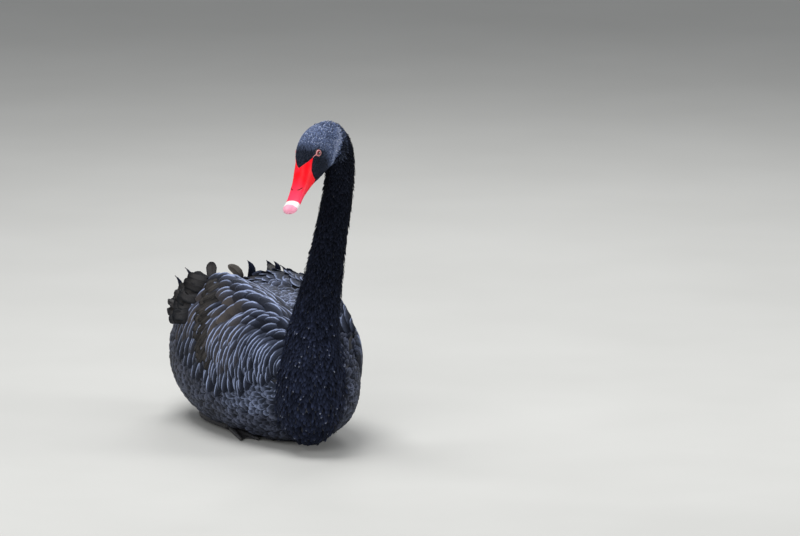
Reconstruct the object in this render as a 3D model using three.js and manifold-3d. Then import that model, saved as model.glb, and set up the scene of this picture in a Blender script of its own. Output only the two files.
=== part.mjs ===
// Black swan, life size, resting on its belly with its head turned to its right.
// Millimetres, +Z up. The bird faces -Y and its left side is +X.
// The origin is the middle of the flat of the belly, on the floor.
import * as THREE from "three";
import { ParametricGeometry } from "three/addons/geometries/ParametricGeometry.js";
import { mergeVertices } from "three/addons/utils/BufferGeometryUtils.js";
import Module from "manifold-3d";

const wasm = await Module();
wasm.setup();

// Driving dimensions
const GAP = 0.35; // between touching nodes
const FACET_SLACK = 0.1; // added to the gap where flat facets face a curve
const SCRAP = 100; // cubic mm, less than any real piece
const FLOOR_REACH = 900; // side of the block that trims what lies under the floor
const FLOOR_DEPTH = 200;

// Body sections from breast to rump: [y, half width, height of the widest line, top, base]
const TORSO = [
  [-262, 0, 112, 112, 112],
  [-254, 36, 112, 150, 76],
  [-226, 63, 110, 184, 36],
  [-175, 88, 107, 209, 10],
  [-103, 107, 104, 226, -4],
  [-20, 115, 102, 232, -7],
  [65, 112, 102, 225, -4],
  [145, 98, 104, 204, 10],
  [215, 72, 106, 178, 36],
  [256, 42, 110, 156, 68],
  [273, 0, 116, 116, 116],
];
const TORSO_RINGS = 24;
const TORSO_SIDES = 24;
const BACK_ROUND = 2.15; // superellipse power above the widest line
const BELLY_ROUND = 2.5; // and below it, where the belly is flatter

// Neck from its root in the breast to the back of the skull: [x, y, z, half width]
const NECK = [
  [-12, -165, 40, 0],
  [-20, -203, 46, 40],
  [-27, -228, 72, 54],
  [-28, -233, 105, 55],
  [-25, -230, 145, 51],
  [-20, -226, 190, 43.5],
  [-14, -229, 232, 37.5],
  [-7, -235, 278, 33],
  [0, -243, 336, 28.6],
  [8, -251, 396, 26.6],
  [12, -257, 446, 25.2],
  [12, -257, 484, 24.8],
  [1, -257, 509, 25.5],
  [-18, -261, 511, 24],
  [-38, -270, 500, 16],
  [-50, -276, 488, 0],
];
const NECK_RINGS = 36;
const NECK_SIDES = 18;
const NECK_DEPTH = 1.06; // depth over width of the neck
const NECK_FRAMES = 280; // steps along which the neck's sections are turned
const CUT_REACH = 2.6; // side of the thin slab that parts the neck, over its half width
// Places where the neck is parted, each with the name of what lies above it
const NECK_CUTS = [
  { name: "neck_lower", at: 5.55 },
  { name: "neck_middle", at: 7.5 },
  { name: "neck_upper", at: 9 },
  { name: "head", at: 10.05 },
];

// Head and bill sections from the back of the skull to the nail, in the head's own frame:
// [forward, half width, height of the widest line, top, base]
const HEAD = [
  [-70, 0, -14, -14, -14],
  [-63, 16, -14, 6, -34],
  [-46, 23.5, -11, 20, -46],
  [-20, 25, -7, 28, -45],
  [0, 23.5, -6, 27.5, -42],
  [14, 20.5, -8, 22.5, -40.5],
  [25, 17.5, -12, 14, -38.5],
  [38, 15.4, -14.5, 4.5, -35.5],
  [52, 14, -17, -3, -32.5],
  [70, 13.8, -19, -10.5, -30.5],
  [86, 14.6, -22, -16.5, -30.5],
  [98, 13.8, -24.5, -20, -31],
  [106, 9.5, -26.5, -23, -31],
  [110, 0, -27.5, -27.5, -27.5],
];
const HEAD_RINGS = 30;
const HEAD_SIDES = 22;
const CROWN_ROUND = 2.1; // superellipse power above the widest line
const CHEEK_ROUND = 2.8; // and below it
const HEAD_AT = new THREE.Vector3(-50, -278.5, 490); // between the eyes
const HEAD_YAW = -55;
const HEAD_PITCH = -35;
const HEAD_ROLL = 5;

const EYE_RADIUS = 6.6;
const EYE_OUT = 17.6; // from the middle of the head to the middle of the eyeball
const EYE_AHEAD = 3;
const EYE_UP = 3;
const EYE_SIDES = 12;
const LID_RADIUS = 6;
const LID_TUBE = 1.3;
const LID_OUT = 22.2;
const LID_STRETCH = 1.12; // the rim is longer than it is tall
const LID_SQUEEZE = 0.9;
const LID_TURN = 0.1; // radians by which its front is turned in
const LID_SIDES = 14;
const LID_TUBE_SIDES = 6;

// Edge of the bare red skin and bill seen from the side, in the head's frame: [forward, up]
const BILL_EDGE = [
  [37.5, 4.4],
  [11.5, 2.2],
  [20, -12],
  [24, -22],
  [40, -34],
];
// Block that holds the bill, seen from the side
const BILL_REACH = 125;
const BILL_UNDER = -60;
const BILL_OVER = 20;
const JAW_UNDER = -70;
const JAW_BEHIND = -20;
const HEAD_BLOCK = 80; // width of the blocks that part the head
const CORNER_SLACK = 1.5; // share of the gap at the sharp corner before the eye
// Line of the closed mouth: [forward, up]
const MOUTH = [
  [22, -19.6],
  [40, -21.5],
  [60, -23],
  [80, -25.2],
  [100, -27.6],
  [112, -28.4],
];
const NOSTRIL = { from: 58, to: 66, up: -13, width: 3, out: 12.5, tilt: 0.3 };
const NOSTRIL_ROUND = 3;
const NOSTRIL_SIDES = 8;

// Closed wing over the torso: places along the torso's sections and degrees round them.
// taper: how bluntly its two ends open; edge, side and ridge: how far it stands out.
const WING = {
  front: 1.75,
  rear: 8.3,
  taper: 0.55,
  lower: 4,
  lowerRear: 30,
  risesFrom: 0.35,
  risesTo: 0.8,
  upper: 83,
  centreFront: 40,
  centreRear: 60,
  edge: 2,
  side: 9,
  ridge: 20,
  ridgeAt: 0.78,
  ridgeWidth: 0.2,
  ridgeEnd: 4,
  sideTaper: 0.6,
  lengthTaper: 0.5,
};
const WING_TIP = 0.004; // share of its length at which an end closes
const WING_TIP_DEPTH = -1; // depth of the two ends against the torso's surface
const WING_EDGE_DEPTH = 0.5;
const WING_UNDER_DEPTH = -4; // the underside is trimmed where the torso fills it
const WING_ROWS = 16;
const WING_COLUMNS = 10;
const MIDLINE_GAP = 0.4; // a wing stays this far to its own side

// Tiers of feathers on a wing, from the shoulder back: lesser, median and greater coverts,
// drooping secondaries, primaries, and flat, curled and raised tertials.
// s: place along the wing; t: from lower edge to ridge; turn: degrees down from straight
// back; lift and curl: degrees off the surface at the root and gained by the tip.
const WING_TIERS = [
  {
    count: 6,
    s: [0.15, 0.21],
    t: [0.2, 0.86],
    length: [56, 50],
    width: [26, 24],
    turn: [18, 4],
    lift: 12,
    curl: -10,
  },
  {
    count: 7,
    s: [0.27, 0.34],
    t: [0.16, 0.88],
    length: [66, 60],
    width: [28, 26],
    turn: [26, 8],
    lift: 12,
    curl: -9,
  },
  {
    count: 7,
    s: [0.39, 0.47],
    t: [0.16, 0.88],
    length: [78, 72],
    width: [31, 29],
    turn: [32, 10],
    lift: 12,
    curl: -9,
  },
  {
    count: 7,
    s: [0.5, 0.59],
    t: [0.24, 0.86],
    length: [78, 84],
    width: [31, 33],
    turn: [46, 20],
    lift: 14,
    curl: -18,
  },
  {
    count: 3,
    s: [0.74, 0.78],
    t: [0.24, 0.44],
    length: [70, 84],
    width: [16, 18],
    turn: [4, -2],
    lift: 5,
    curl: 0,
  },
  {
    count: 5,
    s: [0.68, 0.72],
    t: [0.36, 0.84],
    length: [72, 92],
    width: [27, 30],
    turn: [12, 2],
    lift: 11,
    curl: -4,
  },
  {
    count: 7,
    s: [0.6, 0.71],
    t: [0.94, 0.44],
    length: [56, 62],
    width: [25, 29],
    turn: [-6, 22],
    lift: 24,
    curl: 62,
  },
  {
    count: 4,
    s: [0.46, 0.74],
    t: [0.84, 0.8],
    length: [40, 46],
    width: [14, 18],
    turn: [-10, 0],
    lift: 28,
    curl: 62,
  },
];
const VANE_ROLL = 9; // degrees by which each vane tilts under its neighbour
const VANE_STEPS = 4;
const VANE_THICKNESS = 1.1;
const VANE_THINNING = 0.6; // thickness at the tip over that at the root
const VANE_ROOT = 3.5; // depth of a root below the surface it grows from
// Width of a vane along its length, as a share of the greatest
const VANE_OUTLINE = [0.38, 0.84, 1, 0.88, 0.3];
// How far single feathers stray from their tier: shares of length and curl, degrees
const STRAY = { length: 0.07, turn: 3, lift: 2, curl: 0.2 };

const TAIL = {
  root: new THREE.Vector3(0, 232, 150),
  coreLength: 36,
  coreWidth: 15,
  coreThickness: 11,
  rise: 9,
};
const TAIL_TIERS = [
  { count: 11, start: 12, length: 58, width: 16, spread: 27, side: 11, up: 1, rise: 3 },
  { count: 7, start: 4, length: 44, width: 17, spread: 20, side: 10, up: 5.5, rise: 5 },
];
const TAIL_STEP = 1.5; // each tail feather lies this far below its inner neighbour
const TAIL_ROLL = 12;
const TAIL_ROUND = 0.12; // share by which the outermost feathers are shorter

const LEG = {
  ankle: new THREE.Vector3(60, 104, 12),
  toeJoint: new THREE.Vector3(60, 8, 8),
  thigh: new THREE.Vector3(58, 78, 34),
  radius: 6.2,
  ankleRadius: 9,
  thighRadius: 11,
};
const LEG_SIDES = 8;
const TOE_SIDES = 6;
// Inner, middle and outer toe
const TOES = [
  { turn: -20, length: 76 },
  { turn: -2, length: 92 },
  { turn: 15, length: 86 },
];
const TOE_RADIUS = 5;
const TOE_TIP_RADIUS = 2.6;
const TOE_TIP_HEIGHT = 3.2;
// Ball of the foot, ahead of and below the joint of the toes
const BALL = { ahead: 10.2, drop: 2, radius: 8, frontRadius: 7, length: 3 };
const WEB_THICKNESS = 1.6;
const WEB_BASE = 2.2;
const RECESS_DEPTH = -5; // the room for a web is open to below the floor

const rad = THREE.MathUtils.degToRad;
const lerp = THREE.MathUtils.lerp;
const vec = (x, y, z) => new THREE.Vector3(x, y, z);

// Smooth values at place t of a table of rows, by a Catmull-Rom curve in every column
function smooth(rows, t) {
  const last = rows.length - 1;
  const i = Math.min(Math.floor(t), last - 1);
  const f = t - i;
  const row = (k) => rows[THREE.MathUtils.clamp(k, 0, last)];
  return rows[0].map((_, c) => {
    const [a, b, d, e] = [row(i - 1)[c], row(i)[c], row(i + 1)[c], row(i + 2)[c]];
    const rise = (d - a) / 2;
    const fall = (e - b) / 2;
    return (
      b +
      f * (rise + f * (3 * (d - b) - 2 * rise - fall + f * (2 * (b - d) + rise + fall)))
    );
  });
}

// A closed solid from a three.js geometry, facing outwards
function solid(geometry) {
  const bare = new THREE.BufferGeometry();
  bare.setAttribute("position", geometry.getAttribute("position"));
  if (geometry.index) bare.setIndex(geometry.index);
  const merged = mergeVertices(bare, 1e-4);
  const index = merged.index.array;
  const position = merged.attributes.position;
  const corners = [0, 1, 2].map(() => vec(0, 0, 0));
  const kept = [];
  let volume = 0;
  for (let i = 0; i < index.length; i += 3) {
    const [a, b, c] = [index[i], index[i + 1], index[i + 2]];
    if (a === b || b === c || c === a) continue;
    kept.push(a, b, c);
    [a, b, c].forEach((v, k) => corners[k].fromBufferAttribute(position, v));
    volume += corners[0].dot(corners[1].cross(corners[2]));
  }
  if (volume < 0)
    for (let i = 0; i < kept.length; i += 3)
      [kept[i + 1], kept[i + 2]] = [kept[i + 2], kept[i + 1]];
  return new wasm.Manifold(
    new wasm.Mesh({
      numProp: 3,
      vertProperties: new Float32Array(position.array),
      triVerts: new Uint32Array(kept),
    }),
  );
}

// Closed surface whose first and last rings shrink to a point
function loft(pointAt, rings, sides) {
  return solid(
    new ParametricGeometry((u, v, target) => target.copy(pointAt(v, u % 1)), sides, rings),
  );
}

function box(width, depth, height, matrix) {
  return solid(new THREE.BoxGeometry(width, depth, height).applyMatrix4(matrix));
}

function largest(shape) {
  const bodies = shape.decompose();
  return bodies.reduce((a, b) => (b.volume() > a.volume() ? b : a));
}

// Section point: a superellipse with its own height above and below the widest line
function sectionPoint(half, mid, top, base, angle, round, roundBelow) {
  const c = Math.cos(angle);
  const s = Math.sin(angle);
  const power = 2 / (s >= 0 ? round : roundBelow);
  const across = Math.sign(c) * half * Math.abs(c) ** power;
  const up = (s >= 0 ? top - mid : base - mid) * Math.abs(s) ** power;
  return [across, mid + up];
}

// Torso
function torsoPoint(place, angle, grow = 0) {
  const [y, half, mid, top, base] = smooth(TORSO, place);
  const end = place <= 0 ? -grow : place >= TORSO.length - 1 ? grow : 0;
  const swell = end ? 0 : grow;
  const [x, z] = sectionPoint(
    half + swell,
    mid,
    top + swell,
    base - swell,
    angle,
    BACK_ROUND,
    BELLY_ROUND,
  );
  return vec(x, y + end, z);
}

function torsoNormal(place, angle) {
  const step = 0.02;
  const along = torsoPoint(place + step, angle).sub(torsoPoint(place - step, angle));
  const round = torsoPoint(place, angle + step).sub(torsoPoint(place, angle - step));
  return round.cross(along).normalize().negate();
}

function torsoLoft(grow) {
  const last = TORSO.length - 1;
  return loft(
    (v, u) => torsoPoint(v * last, u * 2 * Math.PI, grow),
    TORSO_RINGS,
    TORSO_SIDES,
  );
}

// Neck
const neckLine = new THREE.CatmullRomCurve3(
  NECK.map(([x, y, z]) => vec(x, y, z)),
  false,
  "catmullrom",
  0.5,
);

// Frames carried along the neck without twist: side to the bird's left, front ahead
const neckFrames = [];
for (let i = 0; i <= NECK_FRAMES; i += 1) {
  const tangent = neckLine.getTangent(i / NECK_FRAMES);
  const before = i ? neckFrames[i - 1].side : vec(1, 0, 0);
  const side = before.clone().addScaledVector(tangent, -tangent.dot(before)).normalize();
  neckFrames.push({ tangent, side });
}

function neckFrame(place) {
  const t = place / (NECK.length - 1);
  const centre = neckLine.getPoint(t);
  const { tangent, side } = neckFrames[Math.round(t * NECK_FRAMES)];
  return { centre, tangent, side, front: tangent.clone().cross(side) };
}

function neckPoint(place, angle, grow = 0) {
  const { centre, side, front } = neckFrame(place);
  const half = smooth(NECK, place)[3];
  const r = half > 0 ? half + grow : 0;
  return centre
    .addScaledVector(side, r * Math.cos(angle))
    .addScaledVector(front, r * NECK_DEPTH * Math.sin(angle));
}

function neckLoft(grow) {
  const last = NECK.length - 1;
  return loft((v, u) => neckPoint(v * last, u * 2 * Math.PI, grow), NECK_RINGS, NECK_SIDES);
}

function neckSlab(place) {
  const { centre, tangent, side } = neckFrame(place);
  const matrix = new THREE.Matrix4()
    .makeBasis(side, tangent.clone().cross(side), tangent)
    .setPosition(centre);
  const size = CUT_REACH * smooth(NECK, place)[3];
  return box(size, size, GAP, matrix);
}

// Head frame: forward, left and up
const headMatrix = new THREE.Matrix4()
  .makeRotationFromEuler(
    new THREE.Euler(rad(HEAD_ROLL), rad(-HEAD_PITCH), rad(HEAD_YAW - 90), "ZYX"),
  )
  .setPosition(HEAD_AT);

function headLoft() {
  const last = HEAD.length - 1;
  return loft(
    (v, u) => {
      const [forward, half, mid, top, base] = smooth(HEAD, v * last);
      const angle = u * 2 * Math.PI;
      const [left, up] = sectionPoint(half, mid, top, base, angle, CROWN_ROUND, CHEEK_ROUND);
      return vec(forward, left, up).applyMatrix4(headMatrix);
    },
    HEAD_RINGS,
    HEAD_SIDES,
  );
}

// A block across the head whose side view is the given outline of [forward, up] points
function headPrism(outline) {
  const shape = new THREE.Shape(outline.map(([f, u]) => new THREE.Vector2(f, u)));
  const geometry = new THREE.ExtrudeGeometry(shape, { depth: HEAD_BLOCK, bevelEnabled: false });
  geometry.translate(0, 0, -HEAD_BLOCK / 2);
  geometry.rotateX(Math.PI / 2);
  return solid(geometry.applyMatrix4(headMatrix));
}

function sphereAt(point, radius) {
  const geometry = new THREE.SphereGeometry(radius, EYE_SIDES, EYE_SIDES / 2 + 1);
  geometry.translate(point.x, point.y, point.z);
  return geometry;
}

// Flesh from the rump to the bill, made whole and then parted
const floorBlock = box(
  FLOOR_REACH,
  FLOOR_REACH,
  FLOOR_DEPTH,
  new THREE.Matrix4().setPosition(0, 0, -FLOOR_DEPTH / 2),
);
const whole = torsoLoft(0).add(neckLoft(0)).add(headLoft()).subtract(floorBlock);
const parted = NECK_CUTS.reduce((shape, cut) => shape.subtract(neckSlab(cut.at)), whole);
const flesh = parted
  .decompose()
  .map((body) => ({ body, height: body.boundingBox().max[2] }))
  .filter(({ body }) => body.volume() > SCRAP)
  .sort((a, b) => a.height - b.height)
  .map(({ body }) => body);
const [torsoWhole, ...neckPieces] = flesh;
const headWhole = neckPieces.pop();

// Bill
const billFront = [
  [BILL_REACH, BILL_UNDER],
  [BILL_REACH, BILL_OVER],
];
const billBlock = headPrism([...BILL_EDGE, ...billFront]);
const billGrown = headPrism([
  [BILL_EDGE[0][0] - GAP, BILL_EDGE[0][1] + GAP],
  [BILL_EDGE[1][0] - CORNER_SLACK * GAP, BILL_EDGE[1][1] + GAP],
  [BILL_EDGE[2][0] - GAP, BILL_EDGE[2][1] - GAP],
  [BILL_EDGE[3][0] - GAP, BILL_EDGE[3][1] - GAP],
  [BILL_EDGE[4][0] - GAP, BILL_EDGE[4][1] - GAP],
  ...billFront,
]);
const bill = headWhole.intersect(billBlock);
const jaw = [
  [BILL_REACH, JAW_UNDER],
  [JAW_BEHIND, JAW_UNDER],
];
const lowerBlock = headPrism([...MOUTH, ...jaw]);
const lowerGrown = headPrism([...MOUTH.map(([f, u]) => [f, u + GAP]), ...jaw]);
const billLower = largest(bill.intersect(lowerBlock));
let billUpper = largest(bill.subtract(lowerGrown));
for (const side of [-1, 1]) {
  const { from, to, up, width, out, tilt } = NOSTRIL;
  const slot = new THREE.CapsuleGeometry(
    width / 2,
    to - from,
    NOSTRIL_ROUND,
    NOSTRIL_SIDES,
  );
  slot.rotateZ(Math.PI / 2 - tilt);
  slot.translate((from + to) / 2, side * out, up);
  billUpper = billUpper.subtract(solid(slot.applyMatrix4(headMatrix)));
}
billUpper = largest(billUpper);

// Eyes, each in a socket with a raised rim of lid
function eyeCentre(side) {
  return vec(EYE_AHEAD, side * EYE_OUT, EYE_UP);
}

function eyeball(side, grow = 0) {
  return solid(sphereAt(eyeCentre(side), EYE_RADIUS + grow).applyMatrix4(headMatrix));
}

let head = headWhole.subtract(billGrown);
for (const side of [-1, 1]) {
  const lid = new THREE.TorusGeometry(LID_RADIUS, LID_TUBE, LID_TUBE_SIDES, LID_SIDES);
  lid.scale(LID_STRETCH, LID_SQUEEZE, 1);
  lid.rotateX(Math.PI / 2);
  lid.rotateZ(-side * LID_TURN);
  lid.translate(EYE_AHEAD, side * LID_OUT, EYE_UP);
  head = head.add(solid(lid.applyMatrix4(headMatrix)));
}
for (const side of [-1, 1]) head = head.subtract(eyeball(side, GAP));
head = largest(head);

// Wing
function wingPlace(s, t) {
  const place = lerp(WING.front, WING.rear, s);
  const open = Math.sin(Math.PI * THREE.MathUtils.clamp(s, 0, 1)) ** WING.taper;
  const centre = lerp(WING.centreFront, WING.centreRear, s);
  const risen = THREE.MathUtils.smoothstep(s, WING.risesFrom, WING.risesTo);
  const lower = lerp(centre, lerp(WING.lower, WING.lowerRear, risen), open);
  const upper = lerp(centre, WING.upper, open);
  return { place, angle: rad(lerp(lower, upper, t)) };
}

function wingThickness(s, t) {
  const along = Math.sin(Math.PI * s) ** WING.lengthTaper;
  const rise = Math.exp(-(((t - WING.ridgeAt) / WING.ridgeWidth) ** 2));
  const ridge = WING.ridge * rise * Math.min(1, WING.ridgeEnd * (1 - t));
  return WING.edge + along * (WING.side * Math.sin(Math.PI * t) ** WING.sideTaper + ridge);
}

function wingPoint(side, s, t, depth = null) {
  const { place, angle } = wingPlace(s, t);
  const out = depth === null ? wingThickness(s, t) : depth;
  const p = torsoPoint(place, angle).addScaledVector(torsoNormal(place, angle), out);
  return vec(side * p.x, p.y, p.z);
}

// Outer surface of the wing at (s, t), with its directions back, down and out
function wingFrame(side, s, t) {
  const step = 0.012;
  const s1 = THREE.MathUtils.clamp(s, 0.05, 0.94);
  const t1 = THREE.MathUtils.clamp(t, 0.04, 0.96);
  const back = wingPoint(side, s1 + step, t1).sub(wingPoint(side, s1 - step, t1));
  const down = wingPoint(side, s1, t1 - step).sub(wingPoint(side, s1, t1 + step));
  const backRate = back.length() / (2 * step);
  const downRate = down.length() / (2 * step);
  back.normalize();
  down.addScaledVector(back, -down.dot(back)).normalize();
  const out = back.clone().cross(down).multiplyScalar(-side);
  return { point: wingPoint(side, s1, t1), back, down, out, backRate, downRate };
}

// Closed shell: over the outside from the lower edge to the inner edge and back beneath
function wingShell(side, grow) {
  const fold = 2 * WING_COLUMNS;
  return loft(
    (v, u) => {
      const k = Math.round(u * fold);
      const t = k <= WING_COLUMNS ? k / WING_COLUMNS : 2 - k / WING_COLUMNS;
      const top = k > 0 && k < WING_COLUMNS;
      const edge = k === 0 || k === WING_COLUMNS;
      const s = THREE.MathUtils.clamp(v, WING_TIP, 1 - WING_TIP);
      if (v <= 0 || v >= 1) return wingPoint(side, s, 0.5, WING_TIP_DEPTH);
      if (top) return wingPoint(side, s, t, wingThickness(s, t) + grow);
      return wingPoint(side, s, t, edge ? WING_EDGE_DEPTH + grow : WING_UNDER_DEPTH);
    },
    WING_ROWS,
    fold,
  );
}

// A thin closed blade along a list of stations {point, across, out}, both faces split alike
function blade(stations, width, grow = 0) {
  const vertices = [];
  const triangles = [];
  stations.forEach(({ point, across, out }, i) => {
    const half = (width * VANE_OUTLINE[i]) / 2 + grow;
    const thinning = lerp(1, VANE_THINNING, i / (stations.length - 1));
    const thick = (VANE_THICKNESS * thinning) / 2 + grow;
    for (const [a, o] of [[-1, 1], [1, 1], [1, -1], [-1, -1]])
      vertices.push(
        ...point
          .clone()
          .addScaledVector(across, a * half)
          .addScaledVector(out, o * thick)
          .toArray(),
      );
  });
  for (let i = 0; i < stations.length - 1; i += 1) {
    const [a, b] = [4 * i, 4 * i + 4];
    triangles.push(a, a + 1, b + 1, a, b + 1, b);
    triangles.push(a + 1, a + 2, b + 2, a + 1, b + 2, b + 1);
    triangles.push(a + 3, b + 2, a + 2, a + 3, b + 3, b + 2);
    triangles.push(a + 3, a, b, a + 3, b, b + 3);
  }
  const end = 4 * (stations.length - 1);
  triangles.push(0, 2, 1, 0, 3, 2, end, end + 1, end + 2, end, end + 2, end + 3);
  const geometry = new THREE.BufferGeometry();
  geometry.setAttribute("position", new THREE.Float32BufferAttribute(vertices, 3));
  geometry.setIndex(triangles);
  return solid(geometry);
}

// Repeatable random numbers between -1 and 1
function jitter(seed) {
  const wave = Math.sin(seed * 12.9898) * 43758.5453;
  return 2 * (wave - Math.floor(wave)) - 1;
}

// A vane grown from the wing at (s, t) that follows the surface as it goes
function wingVane(side, s, t, spec, grow) {
  const turn = rad(spec.turn);
  const stride = spec.length / VANE_STEPS;
  const stations = [];
  let point = null;
  for (let i = 0; i <= VANE_STEPS; i += 1) {
    const frame = wingFrame(side, s, t);
    const k = i / VANE_STEPS;
    const pitch = rad(spec.lift + spec.curl * k * k);
    const along = frame.back
      .clone()
      .multiplyScalar(Math.cos(turn))
      .addScaledVector(frame.down, Math.sin(turn));
    const ahead = along
      .clone()
      .multiplyScalar(Math.cos(pitch))
      .addScaledVector(frame.out, Math.sin(pitch));
    const level = along.clone().cross(frame.out).normalize();
    const face = level.clone().cross(ahead).normalize();
    if (face.dot(frame.out) < 0) face.negate();
    const roll = rad(VANE_ROLL) * side;
    const across = level
      .clone()
      .multiplyScalar(Math.cos(roll))
      .addScaledVector(face, Math.sin(roll));
    const out = face
      .clone()
      .multiplyScalar(Math.cos(roll))
      .addScaledVector(level, -Math.sin(roll));
    point ??= frame.point.clone().addScaledVector(frame.out, -VANE_ROOT);
    stations.push({ point: point.clone(), across, out });
    point.addScaledVector(ahead, stride);
    s += (stride * Math.cos(turn) * Math.cos(pitch)) / frame.backRate;
    t -= (stride * Math.sin(turn) * Math.cos(pitch)) / frame.downRate;
  }
  return blade(stations, spec.width, grow);
}

function wingVanes(side, grow) {
  const vanes = [];
  WING_TIERS.forEach((tier, row) => {
    for (let i = 0; i < tier.count; i += 1) {
      const k = i / (tier.count - 1);
      const seed = 17 * row + i + (side > 0 ? 0.5 : 0);
      const spec = {
        length: lerp(...tier.length, k) * (1 + STRAY.length * jitter(seed)),
        width: lerp(...tier.width, k),
        turn: lerp(...tier.turn, k) + STRAY.turn * jitter(seed + 3),
        lift: tier.lift + STRAY.lift * jitter(seed + 5),
        curl: tier.curl * (1 + STRAY.curl * jitter(seed + 7)),
      };
      vanes.push(wingVane(side, lerp(...tier.s, k), lerp(...tier.t, k), spec, grow));
    }
  });
  return vanes;
}

function wingWhole(side, grow = 0) {
  return wasm.Manifold.union([wingShell(side, grow), ...wingVanes(side, grow)]);
}

const torsoGrown = torsoLoft(GAP + FACET_SLACK).add(neckLoft(GAP + FACET_SLACK));
const midBlock = box(
  2 * MIDLINE_GAP,
  FLOOR_REACH,
  FLOOR_REACH,
  new THREE.Matrix4().setPosition(0, 0, FLOOR_REACH / 2),
);
const wings = [-1, 1].map((side) =>
  largest(wingWhole(side).subtract(torsoGrown).subtract(midBlock)),
);

// Tail: a short core and two tiers of feathers that fan from it
function tailCore() {
  const { root, coreLength, coreWidth, coreThickness, rise } = TAIL;
  const geometry = new THREE.BoxGeometry(2 * coreWidth, coreLength, coreThickness);
  geometry.translate(0, coreLength / 2, 0);
  geometry.rotateX(rad(rise));
  geometry.translate(root.x, root.y, root.z);
  return solid(geometry);
}

function tailVanes() {
  return TAIL_TIERS.flatMap((tier) => {
    const vanes = [];
    for (let i = 0; i < tier.count; i += 1) {
      const k = (2 * i) / (tier.count - 1) - 1;
      const turn = rad(tier.spread * k);
      const rise = rad(TAIL.rise + tier.rise * (1 - k * k));
      const drop = (TAIL_STEP * Math.abs(k) * (tier.count - 1)) / 2;
      const start = TAIL.root.clone().add(vec(tier.side * k, tier.start, tier.up - drop));
      const ahead = vec(
        Math.sin(turn) * Math.cos(rise),
        Math.cos(turn) * Math.cos(rise),
        Math.sin(rise),
      );
      const roll = rad(TAIL_ROLL * k);
      const across = vec(
        Math.cos(turn) * Math.cos(roll),
        -Math.sin(turn) * Math.cos(roll),
        -Math.sin(roll),
      );
      const out = across.clone().cross(ahead).normalize();
      const length = tier.length * (1 - TAIL_ROUND * k * k);
      const stations = VANE_OUTLINE.map((_, j) => ({
        point: start.clone().addScaledVector(ahead, (length * j) / VANE_STEPS),
        across,
        out,
      }));
      vanes.push(blade(stations, tier.width));
    }
    return vanes;
  });
}
const tailWhole = wasm.Manifold.union([tailCore(), ...tailVanes()]);
const tail = largest(
  tailWhole
    .subtract(torsoGrown)
    .subtract(wingWhole(-1, GAP))
    .subtract(wingWhole(1, GAP)),
);

// Legs and feet, folded under the belly
function capsule(a, b, ra, rb, sides = LEG_SIDES) {
  const axis = b.clone().sub(a);
  const length = axis.length();
  const profile = [
    vec(0, -ra, 0),
    vec(ra * 0.7, -ra * 0.7, 0),
    vec(ra, 0, 0),
    vec(rb, length, 0),
    vec(rb * 0.7, length + rb * 0.7, 0),
    vec(0, length + rb, 0),
  ].map((p) => new THREE.Vector2(p.x, p.y));
  const geometry = new THREE.LatheGeometry(profile, sides);
  geometry.applyQuaternion(
    new THREE.Quaternion().setFromUnitVectors(vec(0, 1, 0), axis.normalize()),
  );
  geometry.translate(a.x, a.y, a.z);
  return solid(geometry);
}

function mirrored(point, side) {
  return vec(side * point.x, point.y, point.z);
}

function legShape(side, grow = 0) {
  const ankle = mirrored(LEG.ankle, side);
  const joint = mirrored(LEG.toeJoint, side);
  const thigh = mirrored(LEG.thigh, side);
  return capsule(ankle, joint, LEG.ankleRadius + grow, LEG.radius + grow).add(
    capsule(ankle, thigh, LEG.ankleRadius + grow, LEG.thighRadius + grow),
  );
}

function footPlan(side) {
  const joint = mirrored(LEG.toeJoint, side);
  const start = joint.clone().add(vec(0, -BALL.ahead, -BALL.drop));
  const ends = TOES.map(({ turn, length }) =>
    vec(
      start.x + side * Math.sin(rad(turn)) * length,
      start.y - Math.cos(rad(turn)) * length,
      TOE_TIP_HEIGHT,
    ),
  );
  return { start, ends };
}

function footWeb(side, low, high) {
  const { start, ends } = footPlan(side);
  const outline = [start, ...ends].map((p) => new THREE.Vector2(p.x, p.y));
  const web = new THREE.ExtrudeGeometry(new THREE.Shape(outline), {
    depth: high - low,
    bevelEnabled: false,
  });
  web.translate(0, 0, low);
  return solid(web);
}

function footShape(side, grow = 0) {
  const { start, ends } = footPlan(side);
  const back = start.clone().add(vec(0, BALL.length, 0));
  let foot = capsule(start, back, BALL.radius + grow, BALL.frontRadius + grow);
  for (const end of ends)
    foot = foot.add(
      capsule(start, end, TOE_RADIUS + grow, TOE_TIP_RADIUS + grow, TOE_SIDES),
    );
  return foot.add(footWeb(side, WEB_BASE - grow, WEB_BASE + WEB_THICKNESS + grow));
}

// Room for a foot under the belly, open to the floor
function footRecess(side) {
  return footShape(side, GAP).add(footWeb(side, RECESS_DEPTH, WEB_BASE + WEB_THICKNESS + GAP));
}

const sides = [-1, 1];
const legs = sides.map((side) =>
  largest(legShape(side).subtract(floorBlock).subtract(footShape(side, GAP))),
);
const feet = sides.map((side) => largest(footShape(side).subtract(floorBlock)));
const torso = sides.reduce(
  (shape, side) => shape.subtract(legShape(side, GAP)).subtract(footRecess(side)),
  torsoWhole,
);

// Looks
const BLACK = { color: 0x17181c, roughness: 0.62 };
const SLATE = { color: 0x2b2e36, roughness: 0.6 };
const RED = { color: 0xd4182b, roughness: 0.35 };

const swan = new THREE.Group();
function node(name, shape, look) {
  const mesh = shape.getMesh();
  const geometry = new THREE.BufferGeometry();
  geometry.setAttribute("position", new THREE.BufferAttribute(mesh.vertProperties, 3));
  geometry.setIndex(new THREE.BufferAttribute(mesh.triVerts, 1));
  const material = new THREE.MeshStandardMaterial({ metalness: 0, ...look });
  const piece = new THREE.Mesh(geometry, material);
  piece.name = name;
  swan.add(piece);
}

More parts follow.
